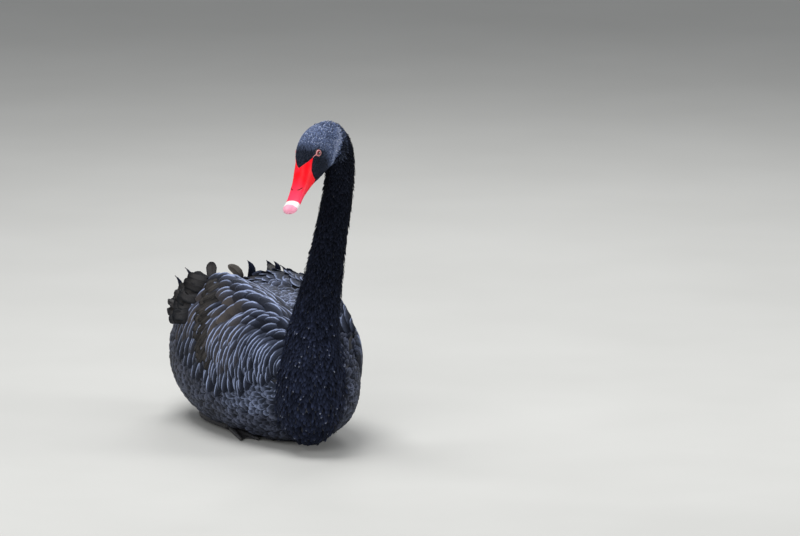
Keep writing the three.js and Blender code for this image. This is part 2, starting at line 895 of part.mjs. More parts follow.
node("torso", largest(torso), BLACK);
neckPieces.forEach((piece, i) => node(NECK_CUTS[i].name, piece, BLACK));
node("head", head, SLATE);
node("bill_upper", billUpper, RED);
node("bill_lower", billLower, RED);
[-1, 1].forEach((side, i) => {
  const hand = side < 0 ? "right" : "left";
  node("eye_" + hand, eyeball(side), { color: 0x8c1210, roughness: 0.1 });
  node("wing_" + hand, wings[i], SLATE);
  node("leg_" + hand, legs[i], BLACK);
  node("foot_" + hand, feet[i], BLACK);
});
node("tail", tail, BLACK);

export default swan;
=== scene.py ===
import math

import bmesh
import bpy
import numpy as np
from mathutils import Euler, Matrix, Vector
from mathutils.bvhtree import BVHTree


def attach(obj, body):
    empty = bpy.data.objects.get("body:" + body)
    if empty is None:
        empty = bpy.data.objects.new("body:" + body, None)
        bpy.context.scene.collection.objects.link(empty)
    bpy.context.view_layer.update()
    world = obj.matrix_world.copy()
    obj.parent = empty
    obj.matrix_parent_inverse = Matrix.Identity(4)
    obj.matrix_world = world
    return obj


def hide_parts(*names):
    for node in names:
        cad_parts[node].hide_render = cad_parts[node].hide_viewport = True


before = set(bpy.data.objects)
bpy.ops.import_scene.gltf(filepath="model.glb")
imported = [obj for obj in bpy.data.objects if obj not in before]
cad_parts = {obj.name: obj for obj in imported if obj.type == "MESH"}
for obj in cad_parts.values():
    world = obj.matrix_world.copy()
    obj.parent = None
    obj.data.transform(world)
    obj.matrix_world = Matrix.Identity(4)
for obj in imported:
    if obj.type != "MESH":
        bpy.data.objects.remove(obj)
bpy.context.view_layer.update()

# Black swan, life size, resting on its belly with its head turned to its right.
# Metres, +Z up. The bird faces -Y and its left side is +X. Tables are in millimetres.
MM = 0.001
draw = np.random.default_rng(7)
HANDS = ((-1, "right"), (1, "left"))

# Body sections from breast to rump: [y, half width, height of the widest line, top, base]
TORSO = [
    [-262, 0, 112, 112, 112],
    [-254, 36, 112, 150, 76],
    [-226, 63, 110, 184, 36],
    [-175, 88, 107, 209, 10],
    [-103, 107, 104, 226, -4],
    [-20, 115, 102, 232, -7],
    [65, 112, 102, 225, -4],
    [145, 98, 104, 204, 10],
    [215, 72, 106, 178, 36],
    [256, 42, 110, 156, 68],
    [273, 0, 116, 116, 116],
]
BACK_ROUND = 2.15
BELLY_ROUND = 2.5

# Neck from its root in the breast to the back of the skull: [x, y, z, half width]
NECK = [
    [-12, -165, 40, 0],
    [-20, -203, 46, 40],
    [-27, -228, 72, 54],
    [-28, -233, 105, 55],
    [-25, -230, 145, 51],
    [-20, -226, 190, 43.5],
    [-14, -229, 232, 37.5],
    [-7, -235, 278, 33],
    [0, -243, 336, 28.6],
    [8, -251, 396, 26.6],
    [12, -257, 446, 25.2],
    [12, -257, 484, 24.8],
    [-1.2, -257, 511, 24.2],
    [-18, -261, 513, 23.4],
    [-38, -270, 500, 16],
    [-50, -276, 488, 0],
]
NECK_DEPTH = 1.06
NECK_STEPS = 281

# Head and bill sections from the back of the skull to the nail, in the head's own frame:
# [forward, half width, height of the widest line, top, base]
HEAD = [
    [-70, 0, -14, -14, -14],
    [-63, 16, -14, 6, -34],
    [-46, 23.5, -11, 22, -46],
    [-20, 25, -7, 29.5, -45],
    [0, 23.5, -6, 27.5, -42],
    [14, 20.5, -8, 22.5, -40.5],
    [25, 17.5, -12, 14, -38.5],
    [38, 15.4, -14.5, 4.5, -35.5],
    [52, 13.7, -19, -5, -34],
    [70, 12.7, -22, -14.4, -33],
    [86, 12.7, -25.4, -20.4, -33],
    [98, 13, -26.5, -21.5, -32.5],
    [106, 9.2, -28, -23.4, -32.2],
    [110, 0, -28.4, -28.4, -28.4],
]
CROWN_ROUND = 2.1
CHEEK_ROUND = 2.8
HEAD_AT = (-50, -278.5, 490)
HEAD_YAW = -55
HEAD_PITCH = -35
HEAD_ROLL = 5

EYE_RADIUS = 6.6
EYE_AT = (2.2, 16.0, 4.6)
EYE_AXIS = (0.2, 1, 0.13)
EYE_FRONT = (3.4, 5.4)  # middle of the eye seen from the side, forwards and up
# Edge of the bare red skin seen from the side, and the line of the mouth: [forward, up]
BILL_EDGE = [
    [38.5, 4.4], [15, 7], [20.5, 2.6], [25.1, -1.8], [31, -7.8], [33, -17], [32.5, -22],
    [31, -27], [44, -38],
]
MOUTH = [[22, -19.6], [40, -22.4], [60, -25.4], [80, -28], [100, -29.8], [112, -30]]
# The feathers' point on the forehead: its reach, and how fast its edges fall back sideways
PEAK = (37.8, 0.5, 0.044)

# Closed wing over the torso, as places along the torso's sections and degrees round them
WING_FRONT, WING_REAR = 1.75, 8.3
WING_ENDS = (0.004, 0.996)  # how much of its length is computed
WING_INNER = ((0.05, 0.94), (0.04, 0.96))  # where its directions are sound, along and across it
WING_TAPER = 0.55
WING_LOWER, WING_LOWER_REAR, WING_UPPER = 4, 30, 83
WING_RISES = (0.35, 0.8)
WING_CENTRE = (40, 60)
WING_EDGE, WING_SIDE, WING_RIDGE = 2, 9, 20
WING_RIDGE_AT, WING_RIDGE_WIDTH = 0.78, 0.2

TAIL_AT = (0, 232, 150)
TAIL_RISE = 9

# Folded legs: [x, y, z, radius] from the thigh to the joint of the foot, for the left side
LEG = [[58, 78, 34, 9.5], [60, 100, 18, 9], [60, 98, 12, 8.4], [60, 60, 8, 5.6], [60, 8, 8, 6.2]]
LEG_BED = (13, 52, 68)  # half width, middle and half length of the belly's hollow over a leg
FOOT_START = (60, -2.2, 6)
TOES = [(-20, 76), (-2, 92), (15, 86)]  # degrees outwards and length
TOE_RADII = (4.8, 2.6)
TOE_TIP_UP = 3.2
HEEL, FOOT_LENGTH = 14, 100
FOOT_WIDTHS = (16, 42)
OVER_FOOT, OVER_LEG = 12.5, 20  # height of the skin over them

# How deep the skin lies under the solids' surface, and the skin's own mesh
COAT_DEPTH = {"torso": 5, "neck": 3.5, "head": 1.8, "wing": 5}
CORE_DEPTH = -12  # the inner side of the wing's core, inside the body
SKIN_CELL = 3 * MM
FLOOR_CLEAR = 1.2
EYE_HOLLOW, HOLLOW = 4, (3.4, 6)  # depth of the skin's hollow behind an eye, and its radii
PATCH = 0.003  # size of one feather's patch on the coat's unwrap


# Shapes
def smooth(rows, place):
    """Catmull-Rom values at places along a table of rows: one row of results for each."""
    rows = np.asarray(rows, float)
    place = np.atleast_1d(np.asarray(place, float))
    last = len(rows) - 1
    i = np.clip(np.floor(place).astype(int), 0, last - 1)
    f = (place - i)[:, None]
    a, b, c, d = (rows[np.clip(i + k, 0, last)] for k in (-1, 0, 1, 2))
    rise, fall = (c - a) / 2, (d - b) / 2
    bend = 2 * (b - c) + rise + fall
    return b + f * (rise + f * (3 * (c - b) - 2 * rise - fall + f * bend))


def unit(v):
    return v / np.maximum(np.linalg.norm(v, axis=-1, keepdims=True), 1e-12)


def section(rows, place, angle, grow, above, below):
    """Along, across and up on superellipses with their own height above and below the widest line."""
    along, half, mid, top, base = smooth(rows, place).T
    half = np.maximum(half + grow, 0.01 * half)
    top, base = np.maximum(top + grow, mid), np.minimum(base - grow, mid)
    c, s = np.cos(angle), np.sin(angle)
    power = 2 / np.where(s >= 0, above, below)
    across = np.sign(c) * half * np.abs(c) ** power
    return along, across, mid + np.where(s >= 0, top - mid, base - mid) * np.abs(s) ** power


def torso(place, angle, grow=0.0):
    y, x, z = section(TORSO, place, angle, grow, BACK_ROUND, BELLY_ROUND)
    return np.stack([x, y, z], 1) * MM


def neck_frames():
    """Sides of the neck's sections, carried along it without twist."""
    line = smooth(NECK, np.linspace(0, len(NECK) - 1, NECK_STEPS))[:, :3]
    tangents = unit(np.gradient(line, axis=0))
    sides = [np.array([1.0, 0.0, 0.0])]
    for tangent in tangents:
        sides.append(unit(sides[-1] - tangent * (tangent @ sides[-1])))
    return tangents, np.array(sides[1:])


NECK_TANGENTS, NECK_SIDES = neck_frames()


def neck(place, angle, grow=0.0):
    x, y, z, half = smooth(NECK, place).T
    step = np.clip(np.round(np.atleast_1d(place) / (len(NECK) - 1) * (NECK_STEPS - 1)), 0, NECK_STEPS - 1)
    tangent, side = NECK_TANGENTS[step.astype(int)], NECK_SIDES[step.astype(int)]
    front = np.cross(tangent, side)
    reach = np.where(half > 0, np.maximum(half + grow, 0.01), 0)[:, None]
    out = side * np.cos(angle)[:, None] + front * NECK_DEPTH * np.sin(angle)[:, None]
    return (np.stack([x, y, z], 1) + reach * out) * MM


def head_matrix():
    turn = Euler([math.radians(a) for a in (HEAD_ROLL, -HEAD_PITCH, HEAD_YAW - 90)], "XYZ")
    return Matrix.Translation(Vector(HEAD_AT) * MM) @ turn.to_matrix().to_4x4()


HEAD_MATRIX = np.array(head_matrix())


def from_head(points):
    """Points of the head's own frame, in millimetres, in the model's frame."""
    return np.asarray(points) * MM @ HEAD_MATRIX[:3, :3].T + HEAD_MATRIX[:3, 3]


def to_head(points):
    return (points - HEAD_MATRIX[:3, 3]) @ HEAD_MATRIX[:3, :3] / MM


def head_local(place, angle, grow=0.0):
    """Points of the head and bill in the head's own frame: forward, left and up in millimetres."""
    return np.stack(section(HEAD, place, angle, grow, CROWN_ROUND, CHEEK_ROUND), 1)


def head(place, angle, grow=0.0):
    return from_head(head_local(place, angle, grow))


def slope(surface, place, angle):
    """Directions along and across a surface that is given by place and angle, and its normal."""
    step = 0.02
    along = unit(surface(place + step, angle) - surface(place - step, angle))
    across = unit(surface(place, angle + step) - surface(place, angle - step))
    return along, across, unit(np.cross(along, across))


def ramp(x, low, high):
    f = np.clip((x - low) / (high - low), 0, 1)
    return f * f * (3 - 2 * f)


def wing_thickness(s, t):
    along = np.sin(np.pi * s) ** 0.5
    rise = np.exp(-(((t - WING_RIDGE_AT) / WING_RIDGE_WIDTH) ** 2)) * np.minimum(1, 4 * (1 - t))
    return WING_EDGE + along * (WING_SIDE * np.sin(np.pi * t) ** 0.6 + WING_RIDGE * rise)


def wing(side, s, t, depth=None):
    """Point on the closed wing: s runs from the shoulder back, t from lower to upper edge."""
    s, t = np.clip(s, *WING_ENDS), np.clip(t, 0.0, 1.0)
    place = WING_FRONT + (WING_REAR - WING_FRONT) * s
    opening = np.sin(np.pi * s) ** WING_TAPER
    centre = WING_CENTRE[0] + (WING_CENTRE[1] - WING_CENTRE[0]) * s
    lower = WING_LOWER + (WING_LOWER_REAR - WING_LOWER) * ramp(s, *WING_RISES)
    lower = centre + (lower - centre) * opening
    upper = centre + (WING_UPPER - centre) * opening
    angle = np.radians(lower + (upper - lower) * t)
    out = wing_thickness(s, t) if depth is None else depth
    normal = slope(torso, place, angle)[2]
    point = torso(place, angle) + normal * np.atleast_1d(out)[:, None] * MM
    return point * np.array([side, 1, 1])


def wing_frame(side, s, t):
    """Directions back, down and out at points of the wing, and metres for each unit of s and t."""
    step = 0.012
    s, t = (np.clip(value, *limits) for value, limits in zip((s, t), WING_INNER))
    back = wing(side, s + step, t) - wing(side, s - step, t)
    down = wing(side, s, t - step) - wing(side, s, t + step)
    rates = np.linalg.norm(back, axis=1) / (2 * step), np.linalg.norm(down, axis=1) / (2 * step)
    back = unit(back)
    down = unit(down - back * np.sum(down * back, axis=1, keepdims=True))
    return back, down, np.cross(back, down) * -side, rates


# Meshes
def lump(name, points, faces):
    mesh = bpy.data.meshes.new(name)
    mesh.from_pydata(np.asarray(points).tolist(), [], faces)
    mesh.shade_smooth()
    piece = bpy.data.objects.new(name, mesh)
    bpy.context.scene.collection.objects.link(piece)
    return piece


def band_faces(a, b, sides):
    """Quads between the ring that starts at corner a and the one that starts at b."""
    after = [(j + 1) % sides for j in range(sides)]
    return [(a + j, a + k, b + k, b + j) for j, k in enumerate(after)]


def tube_faces(rings, sides):
    """Quads of a tube of rings, with one face closing each end."""
    faces = []
    for i in range(rings - 1):
        faces += band_faces(i * sides, (i + 1) * sides, sides)
    last = (rings - 1) * sides
    faces.append(tuple(reversed(range(sides))))
    faces.append(tuple(last + j for j in range(sides)))
    return faces


def outward(piece):
    """Merges doubles and turns all faces outwards."""
    shape = bmesh.new()
    shape.from_mesh(piece.data)
    bmesh.ops.remove_doubles(shape, verts=shape.verts, dist=1e-6)
    bmesh.ops.recalc_face_normals(shape, faces=shape.faces)
    shape.to_mesh(piece.data)
    shape.free()
    return piece


def loft(name, surface, first, last, rings, sides):
    place = np.repeat(np.linspace(first, last, rings), sides)
    angle = np.tile(np.linspace(0, 2 * np.pi, sides, endpoint=False), rings)
    return outward(lump(name, surface(place, angle), tube_faces(rings, sides)))


def plain_mesh(piece, name):
    """The piece with its modifiers made real."""
    graph = bpy.context.evaluated_depsgraph_get()
    mesh = bpy.data.meshes.new_from_object(piece.evaluated_get(graph))
    bpy.data.objects.remove(piece)
    mesh.name = name
    made = bpy.data.objects.new(name, mesh)
    bpy.context.scene.collection.objects.link(made)
    mesh.shade_smooth()
    return made


def join(pieces, name):
    first = pieces[0]
    with bpy.context.temp_override(active_object=first, object=first, selected_editable_objects=pieces):
        bpy.ops.object.join()
    first.name = name
    return first


def store(piece, name, values):
    """Keeps numbers or vectors, one for each point of a piece, under a name."""
    kind, key = ("FLOAT_VECTOR", "vector") if values.ndim > 1 else ("FLOAT", "value")
    kept = piece.data.attributes.new(name, kind, "POINT")
    kept.data.foreach_set(key, values.astype(np.float32).ravel())


def coordinates(mesh):
    co = np.empty(len(mesh.vertices) * 3, np.float32)
    mesh.vertices.foreach_get("co", co)
    return co.reshape(-1, 3).astype(float)


def limb(name, stations, sides=16):
    """Closed tube through [x, y, z, radius] stations, with round ends."""
    fine = smooth(stations, np.linspace(0, len(stations) - 1, 10 * len(stations)))
    centre, radius = fine[:, :3], np.maximum(fine[:, 3], 0.3)
    tangent = unit(np.gradient(centre, axis=0))
    side = unit(np.cross(tangent, [0, 0, 1.0]))
    up = np.cross(side, tangent)
    angle = np.linspace(0, 2 * np.pi, sides, endpoint=False)
    ring = side[:, None] * np.cos(angle)[None, :, None] + up[:, None] * np.sin(angle)[None, :, None]
    points = centre[:, None] + ring * radius[:, None, None]
    points[:, :, 2] = np.maximum(points[:, :, 2], 0)
    return outward(lump(name, points.reshape(-1, 3) * MM, tube_faces(len(fine), sides)))


# Skin
def under_coat(surface, part):
    """A surface sunk by the depth of the coat of its part."""
    return lambda place, angle: surface(place, angle, -COAT_DEPTH[part])


def wing_core(side):
    """Closed shell under a wing's feathers."""
    rings, half = 40, 14
    s = np.repeat(np.linspace(0.02, 0.98, rings), 2 * half)
    t = np.tile(np.concatenate([np.linspace(0, 1, half), np.linspace(1, 0, half)]), rings)
    outer = np.tile(np.arange(2 * half) < half, rings)
    depth = np.where(outer, wing_thickness(s, t) - COAT_DEPTH["wing"], CORE_DEPTH)
    return outward(lump(f"wing core {side}", wing(side, s, t, depth), tube_faces(rings, 2 * half)))


def toe_ends(side):
    """Tips of a foot's toes."""
    x, y, _ = FOOT_START
    ways = [(math.sin(math.radians(turn)), math.cos(math.radians(turn)), length) for turn, length in TOES]
    return [(side * (x + out * length), y - ahead * length, TOE_TIP_UP) for out, ahead, length in ways]


def over_foot(points, side):
    """Which points lie over a folded foot, which widens from its heel to its toes."""
    ahead = (FOOT_START[1] + HEEL - points[:, 1] / MM) / FOOT_LENGTH
    share = np.clip(ahead, 0, 1)
    start, end = side * FOOT_START[0], toe_ends(side)[1][0]
    wide = FOOT_WIDTHS[0] + (FOOT_WIDTHS[1] - FOOT_WIDTHS[0]) * share
    off = np.abs(points[:, 0] / MM - (start + (end - start) * share))
    return (off < wide) & (ahead > 0) & (ahead < 1.18)


def over_leg(points, side):
    x, y, _ = points.T / MM
    half, middle, reach = LEG_BED
    return (np.abs(x - side * FOOT_START[0]) < half) & (np.abs(y - middle) < reach)


def make_skin():
    """One skin from the rump to the edge of the bill, with the wings' cores under their feathers."""
    parts = [
        loft("body", under_coat(torso, "torso"), 0.02, len(TORSO) - 1.02, 90, 64),
        loft("throat", under_coat(neck, "neck"), 0.1, len(NECK) - 1.1, 150, 48),
        loft("skull", under_coat(head, "head"), 0.02, len(HEAD) - 4.5, 90, 48),
        wing_core(-1),
        wing_core(1),
    ]
    whole = join(parts, "skin")
    remesh = whole.modifiers.new("one surface", "REMESH")
    remesh.mode = "VOXEL"
    remesh.voxel_size = SKIN_CELL
    ease = whole.modifiers.new("ease", "SMOOTH")
    ease.factor = 0.5
    ease.iterations = 6
    skin = plain_mesh(whole, "skin")
    points = coordinates(skin.data)
    floor = np.full(len(points), FLOOR_CLEAR * MM)
    for side in (-1, 1):
        floor[over_foot(points, side)] = OVER_FOOT * MM
        floor[over_leg(points, side)] = OVER_LEG * MM
        eye = from_head([[EYE_FRONT[0], side * EYE_AT[1], EYE_FRONT[1]]])[0]
        out = HEAD_MATRIX[:3, 1] * side
        reach = points - eye
        height = reach @ out
        away = np.linalg.norm(reach - height[:, None] * out, axis=1)
        inside = (away < HOLLOW[1] * MM) & (height > -EYE_HOLLOW * MM)
        depth = EYE_HOLLOW * MM * (1 - ramp(away[inside], HOLLOW[0] * MM, HOLLOW[1] * MM))
        points[inside] -= depth[:, None] * out
    points[:, 2] = np.maximum(points[:, 2], floor)
    skin.data.vertices.foreach_set("co", points.astype(np.float32).ravel())
    skin.data.update()
    return skin


# Node trees
def operator(kind):
    """An arithmetic operator of Wire, and the same with its sides exchanged."""
    plain = lambda self, other: self.nodes.sum(kind, self, other)
    exchanged = lambda self, other: self.nodes.sum(kind, other, self)
    return plain, exchanged


class Wire:
    """An output of a node, with arithmetic that adds Math or Vector Math nodes."""

    def __init__(self, nodes, socket):
        self.nodes = nodes
        self.socket = socket

    def vector(self):
        return self.socket.type in ("VECTOR", "RGBA")

    __add__, __radd__ = operator("ADD")
    __sub__, __rsub__ = operator("SUBTRACT")
    __mul__, __rmul__ = operator("MULTIPLY")


class Nodes:
    """A node tree that is filled by expressions. Outputs are named or counted by out."""

    def __init__(self, tree):
        self.tree = tree

    def add(self, kind, settings=None, sockets=None, out=0):
        node = self.tree.nodes.new(kind)
        for name, value in (settings or {}).items():
            setattr(node, name, value)
        for key, value in (sockets or {}).items():
            if isinstance(value, Wire):
                self.tree.links.new(value.socket, node.inputs[key])
            else:
                node.inputs[key].default_value = value
        return Wire(self, node.outputs[out]) if len(node.outputs) else node

    def split(self, vector):
        """The three numbers of a vector."""
        first = self.add("ShaderNodeSeparateXYZ", {}, {0: vector})
        return [Wire(self, socket) for socket in first.socket.node.outputs]

    def sum(self, operation, a, b):
        vectors = [isinstance(v, Wire) and v.vector() or isinstance(v, tuple) for v in (a, b)]
        if not any(vectors):
            return self.add("ShaderNodeMath", {"operation": operation}, {0: a, 1: b})
        if operation == "MULTIPLY" and not all(vectors):
            vector, number = (a, b) if vectors[0] else (b, a)
            return self.add("ShaderNodeVectorMath", {"operation": "SCALE"}, {0: vector, 3: number})
        return self.add("ShaderNodeVectorMath", {"operation": operation}, {0: a, 1: b})

    def math(self, operation, *values):
        return self.add("ShaderNodeMath", {"operation": operation}, dict(enumerate(values)))

    def vector(self, operation, *values):
        return self.add("ShaderNodeVectorMath", {"operation": operation}, dict(enumerate(values)))

    def step(self, value, low, high, start=0.0, end=1.0):
        """Smooth step from start to end as value goes from low to high."""
        settings = {"interpolation_type": "SMOOTHSTEP"}
        sockets = {0: value, 1: low, 2: high, 3: start, 4: end}
        return self.add("ShaderNodeMapRange", settings, sockets)

    def mix(self, share, a, b):
        """Colour between a and b."""
        a, b = ((*v, 1) if isinstance(v, tuple) else v for v in (a, b))
        return self.add("ShaderNodeMix", {"data_type": "RGBA"}, {0: share, 6: a, 7: b}, 2)

    def attribute(self, name):
        return self.add("ShaderNodeAttribute", {"attribute_name": name}, out="Fac")

    def place(self):
        return self.add("ShaderNodeTexCoord", out="Object")

    def noise(self, scale, detail):
        return self.add("ShaderNodeTexNoise", {}, {"Vector": self.place(), "Scale": scale, "Detail": detail})


# Feathers
# Cross sections of a vane: (across, height), from edge to edge over the top and back beneath
PLUME = [(-1, 0), (0, 1), (1, 0)]
VANE = [(-1, 0), (-0.5, 0.75), (0, 1), (0.5, 0.75), (1, 0), (0, 0.25)]
QUILLED = [(-1, 0), (-0.55, 0.7), (-0.07, 0.85), (0, 1.5), (0.07, 0.85), (0.55, 0.7), (1, 0), (0, 0.2)]


def vane_model(name, profile, outline):
    """A feather along +Y of length and half width 1, with its own map of across and along."""
    corners = [(a, height, t, width) for t, width in outline for a, height in profile]
    across, height, along, width = np.array(corners, float).T
    points = np.stack([across * width, along, height], 1)
    model = lump(name, points, tube_faces(len(outline), len(profile)))
    blade = model.data.uv_layers.new(name="blade")
    used = np.empty(len(model.data.loops), np.int32)
    model.data.loops.foreach_get("vertex_index", used)
    places = np.stack([0.5 + 0.5 * across, along], 1)[used]
    blade.data.foreach_set("uv", places.astype(np.float32).ravel())
    rims = {k for k, (a, _) in enumerate(profile) if abs(a) == 1}
    for edge in model.data.edges:
        a, b = edge.vertices
        edge.use_edge_sharp = a % len(profile) == b % len(profile) and a % len(profile) in rims
    bpy.context.scene.collection.objects.unlink(model)
    return model


LEAST_HEIGHT = 0.0003  # no feather comes closer to the floor
ROW_SHARE = 0.8  # distance of a coat's rows, as a share of the gap within a row


def feather_tree():
    """Grows a feather model on each root, bent along its own curve, as one real mesh."""
    tree = bpy.data.node_groups.new("feathers on their roots", "GeometryNodeTree")
    kinds = {"Roots": "Geometry", "Model": "Object", "Finish": "Material"}
    kinds |= dict.fromkeys(("Thickness", "Camber", "Ripple", "Frill", "Patch"), "Float")
    for name, kind in kinds.items():
        tree.interface.new_socket(name=name, in_out="INPUT", socket_type="NodeSocket" + kind)
    tree.interface.new_socket(name="Feathers", in_out="OUTPUT", socket_type="NodeSocketGeometry")
    nodes = Nodes(tree)
    given = tree.nodes.new("NodeGroupInput")
    asked = {name: Wire(nodes, given.outputs[name]) for name in kinds}

    def read(name, kind="FLOAT_VECTOR"):
        return nodes.add("GeometryNodeInputNamedAttribute", {"data_type": kind}, {"Name": name})

    model = nodes.add("GeometryNodeObjectInfo", {}, {"Object": asked["Model"]}, "Geometry")
    placed = nodes.add("GeometryNodeInstanceOnPoints", {}, {"Points": asked["Roots"], "Instance": model})
    real = nodes.add("GeometryNodeRealizeInstances", {}, {"Geometry": placed})

    spot = nodes.add("GeometryNodeInputPosition")
    home = read("root")
    x, y, z = nodes.split(spot - home)
    middle, tip = read("middle"), read("tip")
    rest = 1 - y
    curve = home * (rest * rest) + middle * (2 * rest * y) + tip * (y * y)
    ahead = (middle - home) * rest + (tip - middle) * y
    side = nodes.vector("NORMALIZE", read("side_root") * rest + read("side_tip") * y)
    out = nodes.vector("NORMALIZE", nodes.vector("CROSS_PRODUCT", side, ahead))
    half = read("half", "FLOAT")
    tint = read("tint", "FLOAT")
    along = nodes.add("ShaderNodeCombineXYZ", {}, {0: y * 5 + x * 0.8, 1: tint * 90})
    wave = nodes.add("ShaderNodeTexNoise", {"noise_dimensions": "2D"}, {"Vector": along, "Scale": 1.0})
    width = half * (1 + asked["Ripple"] * (wave - 0.5) * 2)
    frill = nodes.math("SINE", y * 13 + x * 2.2 + tint * 40) * asked["Frill"] * half
    height = z * asked["Thickness"] + (frill * y - asked["Camber"] * half) * x * x
    spot = nodes.vector("MAXIMUM", curve + side * (x * width) + out * height, (-9, -9, LEAST_HEIGHT))
    moved = nodes.add("GeometryNodeSetPosition", {}, {"Geometry": real, "Position": spot})
    patch = read("rootplace") + read("blade") * asked["Patch"]
    settings = {"data_type": "FLOAT2", "domain": "CORNER"}
    sockets = {"Geometry": moved, "Name": "OFBake", "Value": patch}
    mapped = nodes.add("GeometryNodeStoreNamedAttribute", settings, sockets)
    whole = nodes.add("GeometryNodeRealizeInstances", {}, {"Geometry": mapped})
    dressed = nodes.add("GeometryNodeSetMaterial", {}, {"Geometry": whole, "Material": asked["Finish"]})
    result = tree.nodes.new("NodeGroupOutput")
    tree.links.new(dressed.socket, result.inputs["Feathers"])
    return tree


FEATHERS = feather_tree()
SOCKET = {item.name: item.identifier for item in FEATHERS.interface.items_tree if item.in_out == "INPUT"}
# What each root tells the tree, and what of it the materials read as well
ONLY_FOR_SHAPE = ("root", "middle", "tip", "side_root", "side_tip", "rootplace", "half")
ALSO_FOR_LOOKS = ("tint", "tone")


def grow(name, roots, model, finish, thickness, camber, ripple=0.0, frill=0.0):
    """A coat of feathers as one plain mesh, from a table of roots."""
    host = lump(name + " roots", roots["root"], [])
    for key in (*ONLY_FOR_SHAPE, *ALSO_FOR_LOOKS):
        store(host, key, roots[key])
    modifier = host.modifiers.new("feathers", "NODES")
    modifier.node_group = FEATHERS
    given = {
        "Model": model, "Finish": finish, "Thickness": thickness * MM, "Camber": camber,
        "Ripple": ripple, "Frill": frill, "Patch": PATCH,
    }
    for key, value in given.items():
        modifier[SOCKET[key]] = value
    coat = plain_mesh(host, name)
    for key in ONLY_FOR_SHAPE:
        coat.data.attributes.remove(coat.data.attributes[key])
    return coat


def gather(tables):
    return {key: np.concatenate([t[key] for t in tables]) for key in tables[0]}


def pick(table, keep):
    return {key: value[keep] for key, value in table.items()}


def spread(surface, first, last, gaps):
    """Places, angles and gaps of staggered rows. gaps: places along the surface, and millimetres there."""
    fine = np.linspace(first, last, 600)
    paths = [surface(fine, np.full(600, a)) for a in np.linspace(0, 2 * np.pi, 8, endpoint=False)]
    steps = np.mean([np.linalg.norm(np.diff(p, axis=0), axis=1) for p in paths], axis=0)
    run = np.concatenate([[0], np.cumsum(steps)])
    places, angles = [], []
    reach, row = 0.0, 0
    while reach < run[-1]:
        place = np.interp(reach, run, fine)
        turn = np.linspace(0, 2 * np.pi, 97)
        ring = surface(np.full(97, place), turn)
        girth = np.concatenate([[0], np.cumsum(np.linalg.norm(np.diff(ring, axis=0), axis=1))])
        gap = np.interp(place, *gaps) * MM
        count = max(3, int(girth[-1] / gap))
        at = (np.arange(count) + 0.5 * (row % 2)) / count * girth[-1]
        angles.append(np.interp(at, girth, turn))
        places.append(np.full(count, place))
        reach += gap * ROW_SHARE
        row += 1
    places = np.concatenate(places)
    return places, np.concatenate(angles), np.interp(places, *gaps)


def nearest(tree, points):
    found = [tree.find_nearest(p) for p in points]
    place = np.array([f[0] for f in found])
    normal = np.array([f[1] for f in found])
    return place, normal, np.array([f[3] for f in found])


def lay(tree, points, ahead, length, half, rise, unwrap, tone, reach, stray=0.12):
    """Feathers lying along the skin from points within reach of it, each towards its own direction.
    rise: how far their tips stand off the skin, in millimetres."""
    n = len(points)
    length = length * MM * (1 + 0.15 * draw.uniform(-1, 1, n))
    ahead = unit(ahead + stray * draw.normal(size=(n, 3)))
    root, out, far = nearest(tree, points)
    ahead = unit(ahead - out * np.sum(ahead * out, axis=1, keepdims=True))
    lift = rise * MM * (1 + 0.35 * draw.uniform(-1, 1, n))
    halfway, out_mid, _ = nearest(tree, root + ahead * length[:, None] * 0.5)
    end, out_end, _ = nearest(tree, root + ahead * length[:, None])
    sunk = root - out * 0.8 * MM
    end = end + out_end * lift[:, None]
    halfway = halfway + out_mid * lift[:, None] * 0.62
    table = {
        "root": sunk,
        "middle": 2 * halfway - (sunk + end) / 2,
        "tip": end,
        "side_root": unit(np.cross(ahead, out)),
        "side_tip": unit(np.cross(ahead, out_end)),
        "rootplace": np.column_stack([unwrap, np.zeros(n)]),
        "half": half * MM * (1 + 0.1 * draw.uniform(-1, 1, n)),
        "tint": draw.uniform(0, 1, n),
        "tone": tone,
    }
    return pick(table, far < reach * MM)


# Coats
# Gaps between the roots: places along the part's sections, and millimetres there
BODY_GAPS = ([0, 1.5, 3, 6, 10], [6, 7, 8.5, 9.5, 8])
NECK_GAPS = ([0, 3, 5, 8, 11, 13], [5.6, 4.6, 3.9, 3.3, 2.9, 2.2])
HEAD_GAPS = ([0, 3, 6, 9], [2.6, 1.9, 1.45, 1.3])
LID_EDGE = 5.3  # where the face's feathers stop round the eye
# Outlines of feathers, from the root to the tip: (place along it, share of its half width)
OUTLINE_SMALL = [(0, 0.5), (0.45, 0.95), (0.8, 0.8), (1, 0.12)]
OUTLINE_BODY = [(0, 0.35), (0.35, 0.85), (0.68, 1), (0.9, 0.8), (1, 0.3)]
OUTLINE_VANE = [
    (0, 0.3), (0.15, 0.7), (0.35, 0.92), (0.58, 1), (0.78, 0.98), (0.9, 0.82), (0.97, 0.55), (1, 0.25),
]
OUTLINE_BROAD = [
    (0, 0.35), (0.2, 0.7), (0.42, 0.95), (0.6, 1), (0.75, 0.88), (0.87, 0.66), (0.945, 0.42), (0.985, 0.2),
    (1, 0.06),
]
OUTLINE_POINTED = [(0, 0.7), (0.2, 0.92), (0.4, 1), (0.58, 0.86), (0.76, 0.6), (0.9, 0.3), (1, 0.05)]
PLUME_MODEL = vane_model("plume", PLUME, OUTLINE_SMALL)
BODY_MODEL = vane_model("body feather", VANE, OUTLINE_BODY)
VANE_MODEL = vane_model("vane", QUILLED, OUTLINE_VANE)
BROAD_MODEL = vane_model("broad vane", VANE, OUTLINE_BROAD)
POINTED_MODEL = vane_model("pointed vane", QUILLED, OUTLINE_POINTED)


